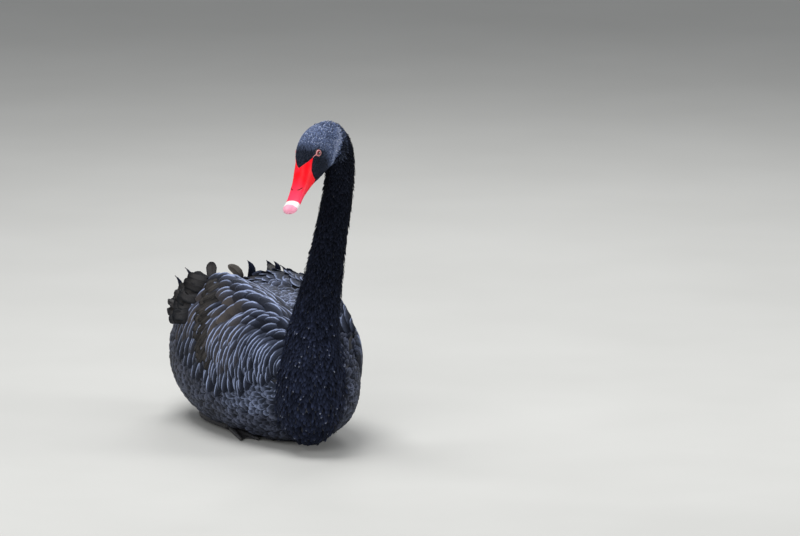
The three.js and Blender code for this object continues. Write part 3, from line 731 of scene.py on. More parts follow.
def unwrapped(place, angle, last):
    """Place on the unwrap of a tube: round it across and along it upwards."""
    return np.stack([0.01 + 0.975 * (angle / (2 * np.pi) % 1), 0.01 + 0.975 * place / last], 1)


def under_belly(table):
    """The feathers that have room over the feet and the legs, held above the floor."""
    low = table["root"][:, 2] < 22 * MM
    hidden = np.zeros(len(low), bool)
    for side in (-1, 1):
        hidden |= over_foot(table["root"], side) | over_leg(table["root"], side)
    table = pick(table, ~(low & hidden))
    for key in ("middle", "tip"):
        table[key][:, 2] = np.maximum(table[key][:, 2], 0.5 * MM)
    return table


def body_coat(tree):
    """Feathers of breast, back, flanks, belly and rump, pointing back."""
    last = len(TORSO) - 1
    inner = under_coat(torso, "torso")
    place, angle, gap = spread(inner, 0.1, last - 0.1, BODY_GAPS)
    ahead = slope(torso, place, angle)[0] + np.array([0, 0.25, -0.12])
    rise = np.interp(place, [0, 3, 8, 10], [1.6, 2.0, 3.4, 3])
    tone = 0.3 * ramp(place, 5, 8) * draw.uniform(0, 1, len(place))
    where = unwrapped(place, angle, last)
    return under_belly(lay(tree, inner(place, angle), ahead, 3.3 * gap, 0.6 * gap, rise, where, tone, 5, 0.3))


# Pieces of the body's coat: [least height, furthest back] of the mantle between the wings, the end
# of the breast, and [least distance sideways, furthest back, least height] of the shoulders
MANTLE, BREAST_END, SHOULDER = (175, 60), -40, (70, -90, 60)
MANTLE_LENGTH, MANTLE_WIDTH = 1.6, 1.5  # its feathers' size against the body's others


def body_coats(tree):
    """The body's coat in pieces: name, table of roots and finish."""
    coat = body_coat(tree)
    x, y, z = coat["root"].T / MM
    mantle = (z > MANTLE[0]) & (y < MANTLE[1])
    front = (y < BREAST_END) & ~mantle
    shoulder = (np.abs(x) > SHOULDER[0]) & (y < SHOULDER[1]) & (z > SHOULDER[2]) & ~mantle
    for key in ("middle", "tip"):
        longer = coat["root"] + (coat[key] - coat["root"]) * MANTLE_LENGTH
        coat[key] = np.where(mantle[:, None], longer, coat[key])
    coat["half"] = np.where(mantle, MANTLE_WIDTH, 1) * coat["half"]
    coat["tone"] = np.where(mantle, 0, coat["tone"])
    return [
        ("breast_coat", pick(coat, front & ~shoulder), body_finish),
        ("shoulder_coat", pick(coat, shoulder), shoulder_finish),
        ("mantle_coat", pick(coat, mantle), mantle_finish),
        ("rear_coat", pick(coat, ~front & ~mantle), body_finish),
    ]


def neck_coat(tree):
    """Short feathers of neck and lower breast, pointing down the neck."""
    last = len(NECK) - 1
    inner = under_coat(neck, "neck")
    place, angle, gap = spread(inner, 0.4, last - 1.2, NECK_GAPS)
    points = inner(place, angle)
    ahead = -slope(neck, place, angle)[0]
    ahead = ahead + np.array([0, 0.7, 0]) * (1 - ramp(place, 0.5, 3))[:, None]
    rise = np.interp(place, [0, 5, 12], [1.6, 2.2, 1.5]) * draw.uniform(0.1, 1.7, len(place))
    tone = np.interp(place, [0, 2, 5.5, 7.2, 9.6], [0.42, 0.5, 0.42, 0.14, 0.04])
    tone = tone * draw.uniform(0.4, 1.6, len(place))
    tone = np.where(place > 9.6, face_tone(to_head(points)), tone)
    where = unwrapped(place, angle, last)
    length = np.interp(place, [10, 12.5], [3.0, 2.4]) * gap
    return under_belly(lay(tree, points, ahead, length, 0.52 * gap, rise, where, tone, 4))


def in_outline(points, outline):
    """Which points of the plane lie in a closed outline."""
    x, y = points[:, 0], points[:, 1]
    inside = np.zeros(len(points), bool)
    for (x0, y0), (x1, y1) in zip(outline, np.roll(outline, -1, axis=0)):
        cross = (y0 > y) != (y1 > y)
        with np.errstate(divide="ignore", invalid="ignore"):
            inside ^= cross & (x < (x1 - x0) * (y - y0) / (y1 - y0) + x0)
    return inside


BARE = np.array([[BILL_EDGE[1][0], 50]] + BILL_EDGE[1:] + [[125, -60], [125, 50]])


def is_bare(local, margin=0.0):
    """Which points of the head lie in the bare red skin, or closer to it than the margin."""
    reach, slope_in, round_in = PEAK
    forward, away = local[:, 0] + margin, np.abs(local[:, 1])
    ahead = forward > reach - slope_in * away - round_in * away * away
    return ahead & in_outline(np.stack([forward, local[:, 2]], 1), BARE)


def bill_away(local):
    """Distance of points of the head from the edge of the bare skin, seen from the side."""
    away = np.full(len(local), 1e3)
    for start, end in zip(np.array(BILL_EDGE), np.array(BILL_EDGE[1:])):
        line = end - start
        spot = local[:, [0, 2]] - start
        share = np.clip(spot @ line / (line @ line), 0, 1)
        away = np.minimum(away, np.linalg.norm(spot - share[:, None] * line, axis=1))
    return away


FACE_EDGE = -59  # where the slate face ends behind, as forward + up in the head's frame
NAPE_EDGE, NAPE_LOWEST = FACE_EDGE - 14, 482  # where the slate ends on the nape
CROWN_LOWEST = 2  # up in the head's frame, where the crown's piece ends and the cheeks' starts


def face_tone(local):
    """Slate crown and cheeks with a painted rim light behind, black round the bill and on the neck."""
    forward, up = (local[:, (0, 2)] + draw.normal(0, 1.6, (len(local), 2))).T
    past = 0.7 * (FACE_EDGE - forward - up)
    # painted rim light along the back edge of the face, where the tone may pass 1
    rim = ramp(past, -12, -5) * (1 - ramp(past, -2, 1)) * (1 - ramp(up, -2, 12))
    brow = 0.8 * np.clip(up, 0, 20) - 4
    dark = np.maximum(1 - ramp(bill_away(local), 5, 20), ramp(forward - brow, -16, 8))
    nape = 0.42 * ramp(-forward, 45, 62) * (1 - ramp(past, 3, 24))
    return 0.04 + np.maximum((1 - ramp(past, -4, 3)) * (0.9 * (1 - dark) + 0.6 * rim), nape)


def on_nape(points):
    """Which of the neck's feathers are slate as the head's are, with a ragged edge."""
    high = to_head(points) @ (1, 0, 1) > NAPE_EDGE + draw.normal(0, 5, len(points))
    return high & (points[:, 2] > (NAPE_LOWEST + draw.normal(0, 4, len(points))) * MM)


def head_coat(tree):
    """The shortest feathers, pointing back from the bill and round the eyes."""
    last = len(HEAD) - 1
    inner = under_coat(head, "head")
    place, angle, gap = spread(inner, 0.1, 9.0, HEAD_GAPS)
    local = head_local(place, angle)
    eye_away = np.hypot(local[:, 0] - EYE_FRONT[0], local[:, 2] - EYE_FRONT[1])
    keep = ~is_bare(local, 0.2) & (eye_away > LID_EDGE)
    place, angle, gap, local, eye_away = (values[keep] for values in (place, angle, gap, local, eye_away))
    ahead = -slope(head, place, angle)[0]
    around = np.stack([local[:, 0] - EYE_FRONT[0], 0 * eye_away, local[:, 2] - EYE_FRONT[1]], 1)
    around = unit(around) @ HEAD_MATRIX[:3, :3].T
    ahead = ahead + 0.9 * around * np.exp(-((eye_away - 6) / 5))[:, None]
    where = unwrapped(place, angle, last)
    return lay(tree, inner(place, angle), ahead, 3.0 * gap, 0.55 * gap, 0.7, where, face_tone(local), 4)


# Closed wing: its coverts lie along arcs round the wrist, which are circles seen along their axis
# from the front quarter, and each arc lies over the next one outwards:
# [radius, step to the next arc, length, half width, rise]
WING_COAT = np.array([
    [40, 3.6, 40, 7, 1.0],
    [80, 4.4, 50, 8.5, 1.4],
    [120, 5.4, 60, 10, 2.0],
    [170, 6.2, 68, 11, 2.6],
    [225, 7.5, 76, 12, 3.4],
])
WRIST = (55, -245, 108)
ARC_AXIS = np.array([0.4168, -0.8939, 0.165])
# Larger feathers of the wing's rear: counts and pairs of values from the first to the last
WING_SETS = {
    "drooping": dict(
        count=13, s=(0.43, 0.52), t=(0.14, 0.74), length=(52, 60), half=(7, 8),
        turn=(62, 38), rise=4, curl=0.0, tone=0.9, rows=3, back=0.035,
    ),
    "primaries": dict(
        count=7, s=(0.72, 0.80), t=(0.20, 0.42), length=(88, 100), half=(8, 9),
        turn=(4, -3), rise=2, curl=0.0, tone=0.2, rows=1, back=0,
    ),
    "tertials": dict(
        count=9, s=(0.64, 0.70), t=(0.28, 0.90), length=(76, 88), half=(13, 15),
        turn=(16, 0), rise=4, curl=0.0, tone=0.5, rows=2, back=0.06,
    ),
    "curled": dict(
        count=9, s=(0.66, 0.67), t=(0.76, 0.22), length=(38, 45), half=(10, 12.5),
        turn=(12, 42), rise=5, curl=0.72, tone=0.6, rows=4, back=0.045, stray=2.4,
    ),
}
# The far wing's loose feathers lie lower than the near one's
LEFT_SETS = {
    "curled": dict(curl=0.25, length=(38, 44), t=(0.78, 0.22)),
    "drooping": dict(t=(0.14, 0.45), rise=2),
}
# Curled tips that stand over the ridges: [x, y, z where they clear the coat,
# height above that, lean back, half width]
POINTED_TIPS = [
    [45, 165, 225, 20, 0, 6.4],
    [55, 113, 237, 15.5, 0, 5.8],
    [57, 89, 238, 16.5, 0, 5],
    [60, 40, 241, 10, -3, 3.4],
    [60, 60, 242, 9, 8, 3],
    [-62, 165, 214, 26, 6, 5],
    [-64, 196, 200, 22, 8, 5],
]
BLUNT_TIPS = [
    [-27, 42, 235, 21, 34, 7.5],
    [-62, 150, 208, 14, 18, 8],
]
# Degrees by which each vane tilts over its neighbour, and by which the coverts do
SHINGLE = -8
COVERT_TILT = -13
COVERTS = (0.006, 0.74)  # how far along the wing the coverts' roots reach
FAR_RISE = 0.55  # the far wing's coverts lie flatter
WING_TOP = (0.5, 0.74)  # where the wing turns from its side to its top, from lower to upper edge
# Degrees that the coverts turn down the wing: at their roots, at their tips, and on its top
COVERT_TURNS, STEEPEST, TOP_TURN = (-20, 52), 74, 4


def lay_on_wing(
    side, s, t, length, half, turn, rise, curl, tone, stray=1.0, bend=0.0, sunk=4.5, tilt=SHINGLE
):
    """Vanes that follow the wing from (s, t); curl lifts their tips off it, bend turns them down."""
    n = len(s)
    length = length * MM * (1 + 0.08 * stray * draw.uniform(-1, 1, n))
    turn = np.radians(turn + 6 * stray * draw.uniform(-1, 1, n))
    curl = np.clip(curl * (1 + 0.25 * draw.uniform(-1, 1, n)), 0, 1.15)
    back, down, out, (back_rate, down_rate) = wing_frame(side, s, t)

    def reach(share, lift):
        course = turn + bend * share / 2
        s1 = s + length * share * np.cos(course) / back_rate
        t1 = t - length * share * np.sin(course) / down_rate
        held_s, held_t = (np.clip(value, *limits) for value, limits in zip((s1, t1), WING_INNER))
        back1, down1, out1, _ = wing_frame(side, s1, t1)
        point = wing(side, held_s, held_t) + back1 * ((s1 - held_s) * back_rate)[:, None]
        point = point + down1 * ((held_t - t1) * down_rate)[:, None]
        return point + out1 * lift[:, None], out1

    # A curled vane turns up: its knee lies low, and its tip stands off the wing
    lift = rise * MM * (1 + 0.3 * stray * draw.uniform(-1, 1, n))
    root, _ = reach(0, np.full(n, -sunk * MM))
    halfway, _ = reach(0.5, lift * 0.45)
    tip, out_tip = reach(1 - 0.42 * curl, lift + 0.72 * curl * length)
    knee, _ = reach(0.5 + 0.16 * curl, lift * 0.3)
    flat = 2 * halfway - (root + tip) / 2
    curled = (curl > 0.02)[:, None]
    course = lambda turn: back * np.cos(turn)[:, None] + down * np.sin(turn)[:, None]
    level, level_tip = unit(np.cross(course(turn), out)), unit(np.cross(course(turn + bend), out_tip))
    roll = math.radians(tilt) * side
    place = 0.02 + 0.96 * np.stack([np.clip(t, 0, 1), np.clip(s, 0, 1)], 1)
    return {
        "root": root,
        "middle": np.where(curled, knee, flat),
        "tip": tip,
        "side_root": level * math.cos(roll) + out * math.sin(roll),
        "side_tip": level_tip * math.cos(roll) + out_tip * math.sin(roll),
        "rootplace": np.column_stack([place, np.zeros(n)]),
        "half": half * MM * (1 + 0.1 * draw.uniform(-1, 1, n)),
        "tint": draw.uniform(0, 1, n),
        "tone": np.clip(tone * (1 + 0.4 * draw.uniform(-1, 1, n)), 0, 1),
    }


def wing_coverts(side):
    """The wing's coat: vanes side by side in arcs, away from the wrist."""
    fine_s, fine_t = np.linspace(WING_ENDS[0], 0.9, 180), np.linspace(0.0, 1.0, 60)
    s, t = (grid.ravel() for grid in np.meshgrid(fine_s, fine_t, indexing="ij"))
    radius = np.linalg.norm(from_wrist(side, s, t), axis=1).reshape(len(fine_s), -1)
    rows, at = [], WING_COAT[0, 0]
    first, last = COVERTS
    while at < WING_COAT[-1, 0]:
        step, length, half, rise = (np.interp(at, WING_COAT[:, 0], c) for c in WING_COAT.T[1:])
        line = np.array([np.interp(at, radius[:, j], fine_s) for j in range(len(fine_t))])
        arc = wing(side, line, fine_t)
        run = np.concatenate([[0], np.cumsum(np.linalg.norm(np.diff(arc, axis=0), axis=1))]) / MM
        gap = 0.45 * length
        place = (np.arange(int(run[-1] / gap)) + draw.uniform(0, 1)) * gap
        place = place + 0.15 * gap * draw.uniform(-1, 1, len(place))
        s, t = np.interp(place, run, line), np.interp(place, run, fine_t)
        on = (s > first) & (s < last)
        if on.any():
            rows.append(covert_arc(side, s[on], t[on], length, half, rise))
        at += step
    return gather(rows)


def from_wrist(side, s, t):
    """Points of the wing from the wrist, flattened along the arcs' axis."""
    spot = wing(side, s, t) / MM - np.array(WRIST) * (side, 1, 1)
    axis = ARC_AXIS * (side, 1, 1)
    return spot - (spot @ axis)[:, None] * axis


def covert_arc(side, s, t, length, half, rise):
    """One arc of coverts: they turn down the wing below, and straight back over its top."""
    back, down, out, _ = wing_frame(side, s, t)
    arm = from_wrist(side, s, t)
    ahead = np.cross(out, arm) * -side
    turn = np.degrees(np.arctan2(np.sum(ahead * down, axis=1), np.sum(ahead * back, axis=1)))
    over = ramp(t, *WING_TOP)
    turn = np.clip(turn, *COVERT_TURNS) * (1 - over) + TOP_TURN * over
    brown = ramp(s, 0.2, 0.38) * ramp(t, 0.1, 0.4) * (1 - ramp(t, 0.6, 0.8)) if side < 0 else 0
    brown = brown * draw.uniform(0, 1.2, len(s))
    rise = rise * (1 if side < 0 else FAR_RISE)
    bend = 0.85 * length * MM / np.maximum(np.linalg.norm(arm, axis=1) * MM, 0.05)
    bend = np.minimum(bend, np.radians(STEEPEST - turn)) * (1 - 0.6 * over)
    length = length * (1 - 0.15 * over)
    return lay_on_wing(side, s, t, length, half, turn, rise, 0.0, brown, 0.9, bend, 2.4, COVERT_TILT)


def wing_set(side, *, count, s, t, length, half, turn, rise, curl, tone, rows, back, stray=1.0):
    """Rows of larger feathers, from the first to the last of their pairs of values."""
    made = []
    for row in range(rows):
        k = (np.arange(count) + 0.5 * (row % 2)) / (count - 1)
        between = lambda pair: pair[0] + (pair[1] - pair[0]) * k
        where = between(s) + back * row + 0.012 * draw.uniform(-1, 1, count)
        across = between(t) + 0.015 * draw.uniform(-1, 1, count)
        size = between(length) * (1 - 0.12 * row)
        made.append(
            lay_on_wing(side, where, across, size, between(half), between(turn), rise, curl, tone, stray)
        )
    return gather(made)


def standing(tree, rows, level, sway):
    """Feathers that rise from the skin below their place, bulge forwards and curl their tips back."""
    x, y, z, height, lean, half = np.array(rows, float).T
    n = len(x)
    root = np.stack([x, y, z], 1)
    below = [tree.ray_cast(Vector((a * MM, b * MM, 0.4)), Vector((0, 0, -1)))[0] for a, b in zip(x, y)]
    held = np.array(below) - np.array([0, 0, 2 * MM])
    return {
        "root": held,
        "middle": (root + np.stack([0.3 * height + sway, -0.7 * height, 0.62 * height], 1)) * MM,
        "tip": (root + np.stack([0.1 * height - 0.15 * lean - sway, lean, height], 1)) * MM,
        "side_root": np.tile(level, (n, 1)),
        "side_tip": np.tile(level, (n, 1)),
        "rootplace": np.column_stack([0.3 + 0.002 * x, 0.5 + 0.001 * y, np.zeros(n)]),
        "half": half * MM,
        "tint": draw.uniform(0.2, 0.6, n),
        "tone": np.full(n, 0.3),
    }


TAIL_TIERS = [
    dict(count=13, start=12, length=58, half=8, spread=27, side=11, up=1, rise=3),
    dict(count=11, start=6, length=46, half=8.5, spread=22, side=11, up=5.5, rise=5),
    dict(count=9, start=0, length=36, half=8, spread=20, side=12, up=9, rise=5),
]


def tail_tier(count, start, length, half, spread, side, up, rise):
    k = np.linspace(-1, 1, count)
    turn = np.radians(spread * k)
    lift = np.radians(TAIL_RISE + rise * (1 - k * k))
    ahead = np.stack([np.sin(turn) * np.cos(lift), np.cos(turn) * np.cos(lift), np.sin(lift)], 1)
    drop = 1.2 * np.abs(k) * (count - 1) / 2
    root = np.stack([side * k, np.full(count, start), up - drop], 1) + np.array(TAIL_AT)
    reach = length * (1 - 0.12 * k * k + 0.04 * draw.uniform(-1, 1, count))[:, None]
    roll = np.radians(12 * k)
    across = np.stack([np.cos(turn) * np.cos(roll), -np.sin(turn) * np.cos(roll), -np.sin(roll)], 1)
    place = np.stack([0.5 + 0.45 * k, np.full(count, start / 20 + 0.1)], 1)
    return {
        "root": root * MM,
        "middle": (root + ahead * reach * 0.5 + np.array([0, 0, 1.2])) * MM,
        "tip": (root + ahead * reach) * MM,
        "side_root": across,
        "side_tip": across,
        "rootplace": np.column_stack([place, np.zeros(count)]),
        "half": np.full(count, half * MM),
        "tint": draw.uniform(0, 1, count),
        "tone": np.full(count, 0.25),
    }


# Bill
BILL_ROWS = 110
BILL_SIDES = 96
BILL_TIP = 109.6
ROOT_UP, ROOT_SHRINK = -16, (0.82, 0.86)  # the bill's first ring, drawn in under the feathers
# Where the white band and the pink nail start, in hundreds of millimetres forward in the head's frame
BAND_FROM, NAIL_FROM = 0.868, 0.962
NOSTRIL = dict(middle=65.75, reach=4.25, up=-14.8, tilt=0.06, half=0.8, depth=1.2)


def head_place(forward):
    places = np.linspace(0, len(HEAD) - 1, 2000)
    return np.interp(forward, smooth(HEAD, places)[:, 0], places)


def bill_start(angle):
    """Where the bare skin starts along the head, at an angle round it."""
    places = np.linspace(5, len(HEAD) - 1.02, 900)
    starts = []
    for a in angle:
        local = head_local(places, np.full(900, a))
        starts.append(local[np.argmax(is_bare(local)), 0])
    return np.array(starts)


def mouth_angle(forward):
    """Angle below the widest line at which the mouth runs."""
    _, _, mid, _, base = smooth(HEAD, head_place(forward)).T
    mouth = np.interp(forward, *np.array(MOUTH).T)
    share = np.clip((mid - mouth) / (mid - base), 0, 1)
    return np.arcsin(share ** (CHEEK_ROUND / 2))


def bill_half(name, upper):
    """Upper or lower half of the bill as one closed tube."""
    fine = np.linspace(-np.pi / 2, 1.5 * np.pi, 721)
    start = bill_start(fine)
    u = np.linspace(0, 1, BILL_SIDES)
    rings = []
    for v in np.concatenate([[-1], np.linspace(0, 1, BILL_ROWS)]):
        share = max(v, 0)
        forward = np.full(BILL_SIDES, 60.0)
        for _ in range(6):
            below = mouth_angle(forward)
            if upper:
                angle = -below + u * (np.pi + 2 * below)
            else:
                angle = -below - u * (np.pi - 2 * below)
                angle = np.where(angle < -np.pi / 2, angle + 2 * np.pi, angle)
            begin = np.interp(angle, fine, start)
            forward = begin + (BILL_TIP - begin) * (1 - (1 - share) ** 1.25)
        sunk = 1.2 * (1 - ramp(forward, 20, 46)) if upper else 0.9
        local = head_local(head_place(forward), angle, -sunk)
        if v < 0:
            local[:, 1] *= ROOT_SHRINK[0]
            local[:, 2] = ROOT_UP + (local[:, 2] - ROOT_UP) * ROOT_SHRINK[1]
        elif upper:
            local = local + bill_relief(local)
        rings.append(local)
    local = np.concatenate(rings)
    piece = lump(name, from_head(local), tube_faces(BILL_ROWS + 1, BILL_SIDES))
    store(piece, "reach", local[:, 0] / 100)
    store(piece, "left", local[:, 1] / 100)
    # slot marks the nostrils' hollows, which the finish fills with painted shade
    store(piece, "slot", (1 - ramp(nostril_away(local), 0.4, 1.1)) if upper else np.zeros(len(local)))
    return outward(piece)


def nostril_away(local):
    """Distance from the slot of a nostril, 1 at its rim."""
    forward, _, up = local.T
    ahead = forward - NOSTRIL["middle"]
    line = NOSTRIL["up"] + NOSTRIL["tilt"] * ahead
    end = np.clip(np.abs(ahead) / NOSTRIL["reach"] - 0.6, 0, 9) * 3
    return np.hypot((up - line) / NOSTRIL["half"], end)


def bill_relief(local):
    """Nail and nostrils, as offsets in the head's frame."""
    forward, left, up = local.T
    moved = np.zeros_like(local)
    nail = ramp(forward, 93, 98) * (1 - ramp(np.abs(left), 5, 9))
    moved[:, 2] += 1.8 * nail
    away = nostril_away(local)
    hole = 1 - ramp(away, 0.35, 1)
    brim = ramp(away, 0.8, 1.2) * (1 - ramp(away, 1.3, 2.4))
    moved[:, 1] -= np.sign(left) * (NOSTRIL["depth"] * hole - 0.35 * brim)
    return moved


# Eyes
def eye_frame(side):
    """Middle of an eye, and its directions out, forwards and up, in the head's frame."""
    out = unit(np.array([EYE_AXIS[0], side * EYE_AXIS[1], EYE_AXIS[2]]))
    front = unit(np.array([1.0, 0, 0]) - out * out[0])
    up = np.cross(out, front) * -side
    return np.array([EYE_AT[0], side * EYE_AT[1], EYE_AT[2]]), out, front, up


def on_eye(side, turn, phi, radius):
    """Points at an angle from the eye's axis, an angle round it and a radius."""
    middle, out, front, up = eye_frame(side)
    flat = np.cos(phi)[:, None] * front + np.sin(phi)[:, None] * up
    reach = np.cos(turn)[:, None] * out + np.sin(turn)[:, None] * flat
    return middle + np.broadcast_to(radius, len(turn))[:, None] * reach


def eyeball(side, name):
    """Ball with a bulging front, and the turn of each point from its axis."""
    rings, sides = 33, 48
    turn = np.repeat(np.linspace(0.02, np.pi - 0.02, rings), sides)
    phi = np.tile(np.linspace(0, 2 * np.pi, sides, endpoint=False), rings)
    local = on_eye(side, turn, phi, EYE_RADIUS + 0.35 * np.exp(-((turn / 0.55) ** 2)))
    piece = lump(name, from_head(local), tube_faces(rings, sides))
    store(piece, "turn", turn)
    return outward(piece)


# Cross section of a lid from its free edge outwards over the top and back beneath: [turn, height]
LID = [
    [0.6, 0.0], [0.62, 0.4], [0.67, 0.6], [0.74, 0.54], [0.83, 0.28], [1.0, 0.2], [1.2, 0.15],
    [1.38, 0.0], [1.3, -0.8], [0.95, -0.5], [0.66, -0.25],
]
CORNER_AT = 0.16
# The lid's corner drawn out to the bill: [forward, up, radius]
CORNER = [(6.4, 5.9, 1.0), (8.4, 6.4, 0.85), (10.4, 6.9, 0.7), (12.8, 7.2, 0.6), (15.6, 6.7, 0.4)]


def cheek(forward, up):
    """How far the head's surface lies sideways from its middle."""
    _, half, mid, top, _ = smooth(HEAD, head_place(forward))[0]
    return half * (1 - max(up - mid, 0) ** CROWN_ROUND / (top - mid) ** CROWN_ROUND) ** (1 / CROWN_ROUND)


def lid_ring(side, name):
    """Soft lid round an eye with a pink swollen rim, and its corner drawn out to the bill."""
    around, sides = 72, len(LID)
    phi = np.repeat(np.linspace(0, 2 * np.pi, around, endpoint=False), sides)
    turn, height = np.tile(np.array(LID), (around, 1)).T
    corner = np.exp(-(((phi - CORNER_AT + np.pi) % (2 * np.pi) - np.pi) / 0.35) ** 2)
    ripple = 0.06 * np.sin(26 * phi) * (turn > 0.6) * (turn < 0.8)
    local = on_eye(side, turn + 0.14 * corner, phi, EYE_RADIUS + 0.12 + height + ripple)
    faces = []
    for i in range(around):
        faces += band_faces(i * sides, (i + 1) % around * sides, sides)
    ring = lump(name, from_head(local), faces)
    store(ring, "turn", turn)
    stations = []
    for forward, up, radius in CORNER:
        spot = from_head([[forward, side * (cheek(forward, up) - 0.9 * radius - 0.7), up]])[0] / MM
        stations.append([*spot, radius])
    return outward(join([ring, limb(name + " corner", stations, 12)], name))


# Feet
def toe(side, end, name):
    """A toe with a soft bulge at each joint: four on the long middle and outer toes, else three."""
    start = np.array([side * FOOT_START[0], FOOT_START[1] + 4, FOOT_START[2]])
    end = np.array(end)
    joints = 4 if end[1] < -85 else 3
    stations = []
    for k in range(4 * joints + 1):
        share = k / (4 * joints)
        bulge = 0.7 * math.cos(2 * math.pi * share * joints) ** 2
        radius = TOE_RADII[0] + (TOE_RADII[1] - TOE_RADII[0]) * share + bulge - 0.4
        stations.append([*(start + (end - start) * share), radius])
    stations[0][3] *= 0.6
    stations.append([*(end + (end - start) / 60), 0.4])
    return limb(name, stations)


def claw(side, end, name):
    """A short curved claw past the end of a toe."""
    tip = np.array(end)
    ahead = (tip - (side * FOOT_START[0], FOOT_START[1], 0)) * (1, 1, 0)
    ahead = ahead / np.linalg.norm(ahead)
    curve = [(-2, 0, 1.9), (1.2, 0.9, 1.7), (4, 0.2, 1.0), (6, -1.4, 0.3)]
    return limb(name, [[*(tip + reach * ahead + [0, 0, up]), radius] for reach, up, radius in curve], 10)


def web(side, name):
    """Thin skin between the toes, scalloped at its free edge."""
    start = np.array([side * FOOT_START[0], FOOT_START[1] + 2, 3.6])
    ends = [np.array(end) for end in toe_ends(side)]
    columns, rows = 12, 16
    points = []
    for a, b in zip(ends, ends[1:]):
        for i in range(columns + 1):
            u = i / columns
            slack = 1 - 0.16 * math.sin(math.pi * u)
            for j in range(rows + 1):
                v = 0.12 + 0.86 * j / rows
                point = start + ((a * (1 - u) + b * u) - start) * v * slack
                point[2] = 3.4 - 0.7 * math.sin(math.pi * u) + 0.18 * math.sin(9 * math.pi * v)
                points.append(point)
    points = np.array(points)
    under = points - np.array([0, 0, 1.3])
    n, faces = len(points), []
    block = (columns + 1) * (rows + 1)
    for part in range(2):
        grid = lambda i, j: part * block + i * (rows + 1) + j
        for i in range(columns):
            for j in range(rows):
                quad = (grid(i, j), grid(i, j + 1), grid(i + 1, j + 1), grid(i + 1, j))
                faces.append(quad)
                faces.append(tuple(n + q for q in reversed(quad)))
        rim = [grid(i, 0) for i in range(columns)] + [grid(columns, j) for j in range(rows)]
        rim += [grid(i, rows) for i in range(columns, 0, -1)] + [grid(0, j) for j in range(rows, 0, -1)]
        for a, b in zip(rim, rim[1:] + rim[:1]):
            faces.append((a, b, n + b, n + a))
    return outward(lump(name, np.concatenate([points, under]) * MM, faces))


# Finishes
def finish(name, build):
    """A material whose nodes build(nodes) makes: it returns the shader's sockets by name."""
    material = bpy.data.materials.new(name)
    material.use_nodes = True
    tree = material.node_tree
    tree.nodes.clear()
    nodes = Nodes(tree)
    shader = nodes.add("ShaderNodeBsdfPrincipled", {}, build(nodes))
    nodes.add("ShaderNodeOutputMaterial", {}, {"Surface": shader})
    return material


def bump(nodes, height, distance, strength=1.0):
    return nodes.add("ShaderNodeBump", {}, {"Height": height, "Distance": distance, "Strength": strength})


def feather_finish(
    name, deep, pale, warm, rim, rims, tips, shaded=(0.45, 1.0), painted_shine=0.34, barbs=26, painted_glints=0.0, gloss=0.12,
    bare_sides=0.3, lit=None, outer=0, edge_colour=None, vary=0.9
):
    """Dark vanes with paler edges and tips. Painted shade darkens each vane's covered base, and a painted
    sheen lightens it towards its tip, and with lit also towards its outer edge. A vane's tone takes it
    towards the warm colour.
    """

    def build(nodes):
        across, along, _ = nodes.split(nodes.add("ShaderNodeUVMap", {"uv_map": "blade"}))
        across = across * 2 - 1
        # outer: a signed across, so that the painted light falls on one edge of the vane only
        across = across * outer if outer else nodes.math("ABSOLUTE", across)
        tint, tone = nodes.attribute("tint"), nodes.attribute("tone")
        patchy = nodes.noise(38.0, 3.0)
        fray = nodes.noise(600.0, 2.0)
        line = nodes.math("SINE", (along - across * 0.4) * (barbs * 6.28) + fray * 5)
        sides = nodes.step(across, *rims) * nodes.step(along, bare_sides, bare_sides + 0.25)
        if lit:
            sides = sides * nodes.step(along, 0.84, 0.98, 1.0, 0.25)
        edge = nodes.math("MAXIMUM", sides, nodes.step(along, *tips)) * rim
        edge = edge * (0.1 + 1.3 * patchy) * (0.5 + fray)
        # painted shade and sheen: dark over the vane's base, where the next vane shades it, lighter towards
        # its tip
        painted_light_ramp = nodes.step(along, *shaded)
        # with lit: painted light on the raised outer edge and painted shade on the inner side, under the
        # neighbour
        if lit:
            painted_light_ramp = nodes.math("MAXIMUM", painted_light_ramp, nodes.step(across, *lit))
        painted_sheen = painted_light_ramp * painted_shine * patchy * (0.7 + 0.3 * line) + 0.03 * line * along
        shade = nodes.mix(painted_sheen, deep, pale)
        toned = nodes.mix(tone * nodes.step(along, 0.3, 0.85, 0.35, 1.0), shade, warm)
        grain = (1 - vary / 2 + vary * tint) * (0.6 + 0.8 * fray)
        colour = nodes.mix(edge, toned, edge_colour or pale) * grain
        if painted_glints:
            # Painted rim light: pale where the tone passes 1, behind the cheeks.
            colour = nodes.mix(nodes.step(tone, 1.0, 1.3, 0.0, 0.75), colour, pale)
            # Painted glints: small bright spots near the tips of some vanes.
            spot = nodes.step(tint, 0.84, 0.85) * nodes.step(along, 0.78, 0.84) * nodes.step(tone, 0.45, 0.8)
            colour = nodes.mix(spot * painted_glints, colour, (0.5, 0.54, 0.64))
        return {
            "Base Color": colour,
            "Roughness": 0.5 + 0.2 * patchy,
            "Normal": bump(nodes, line, 0.0002, 0.3),
            "Specular IOR Level": gloss,
            "Specular Tint": (0.62, 0.76, 1.0, 1.0),
        }

    return finish(name, build)


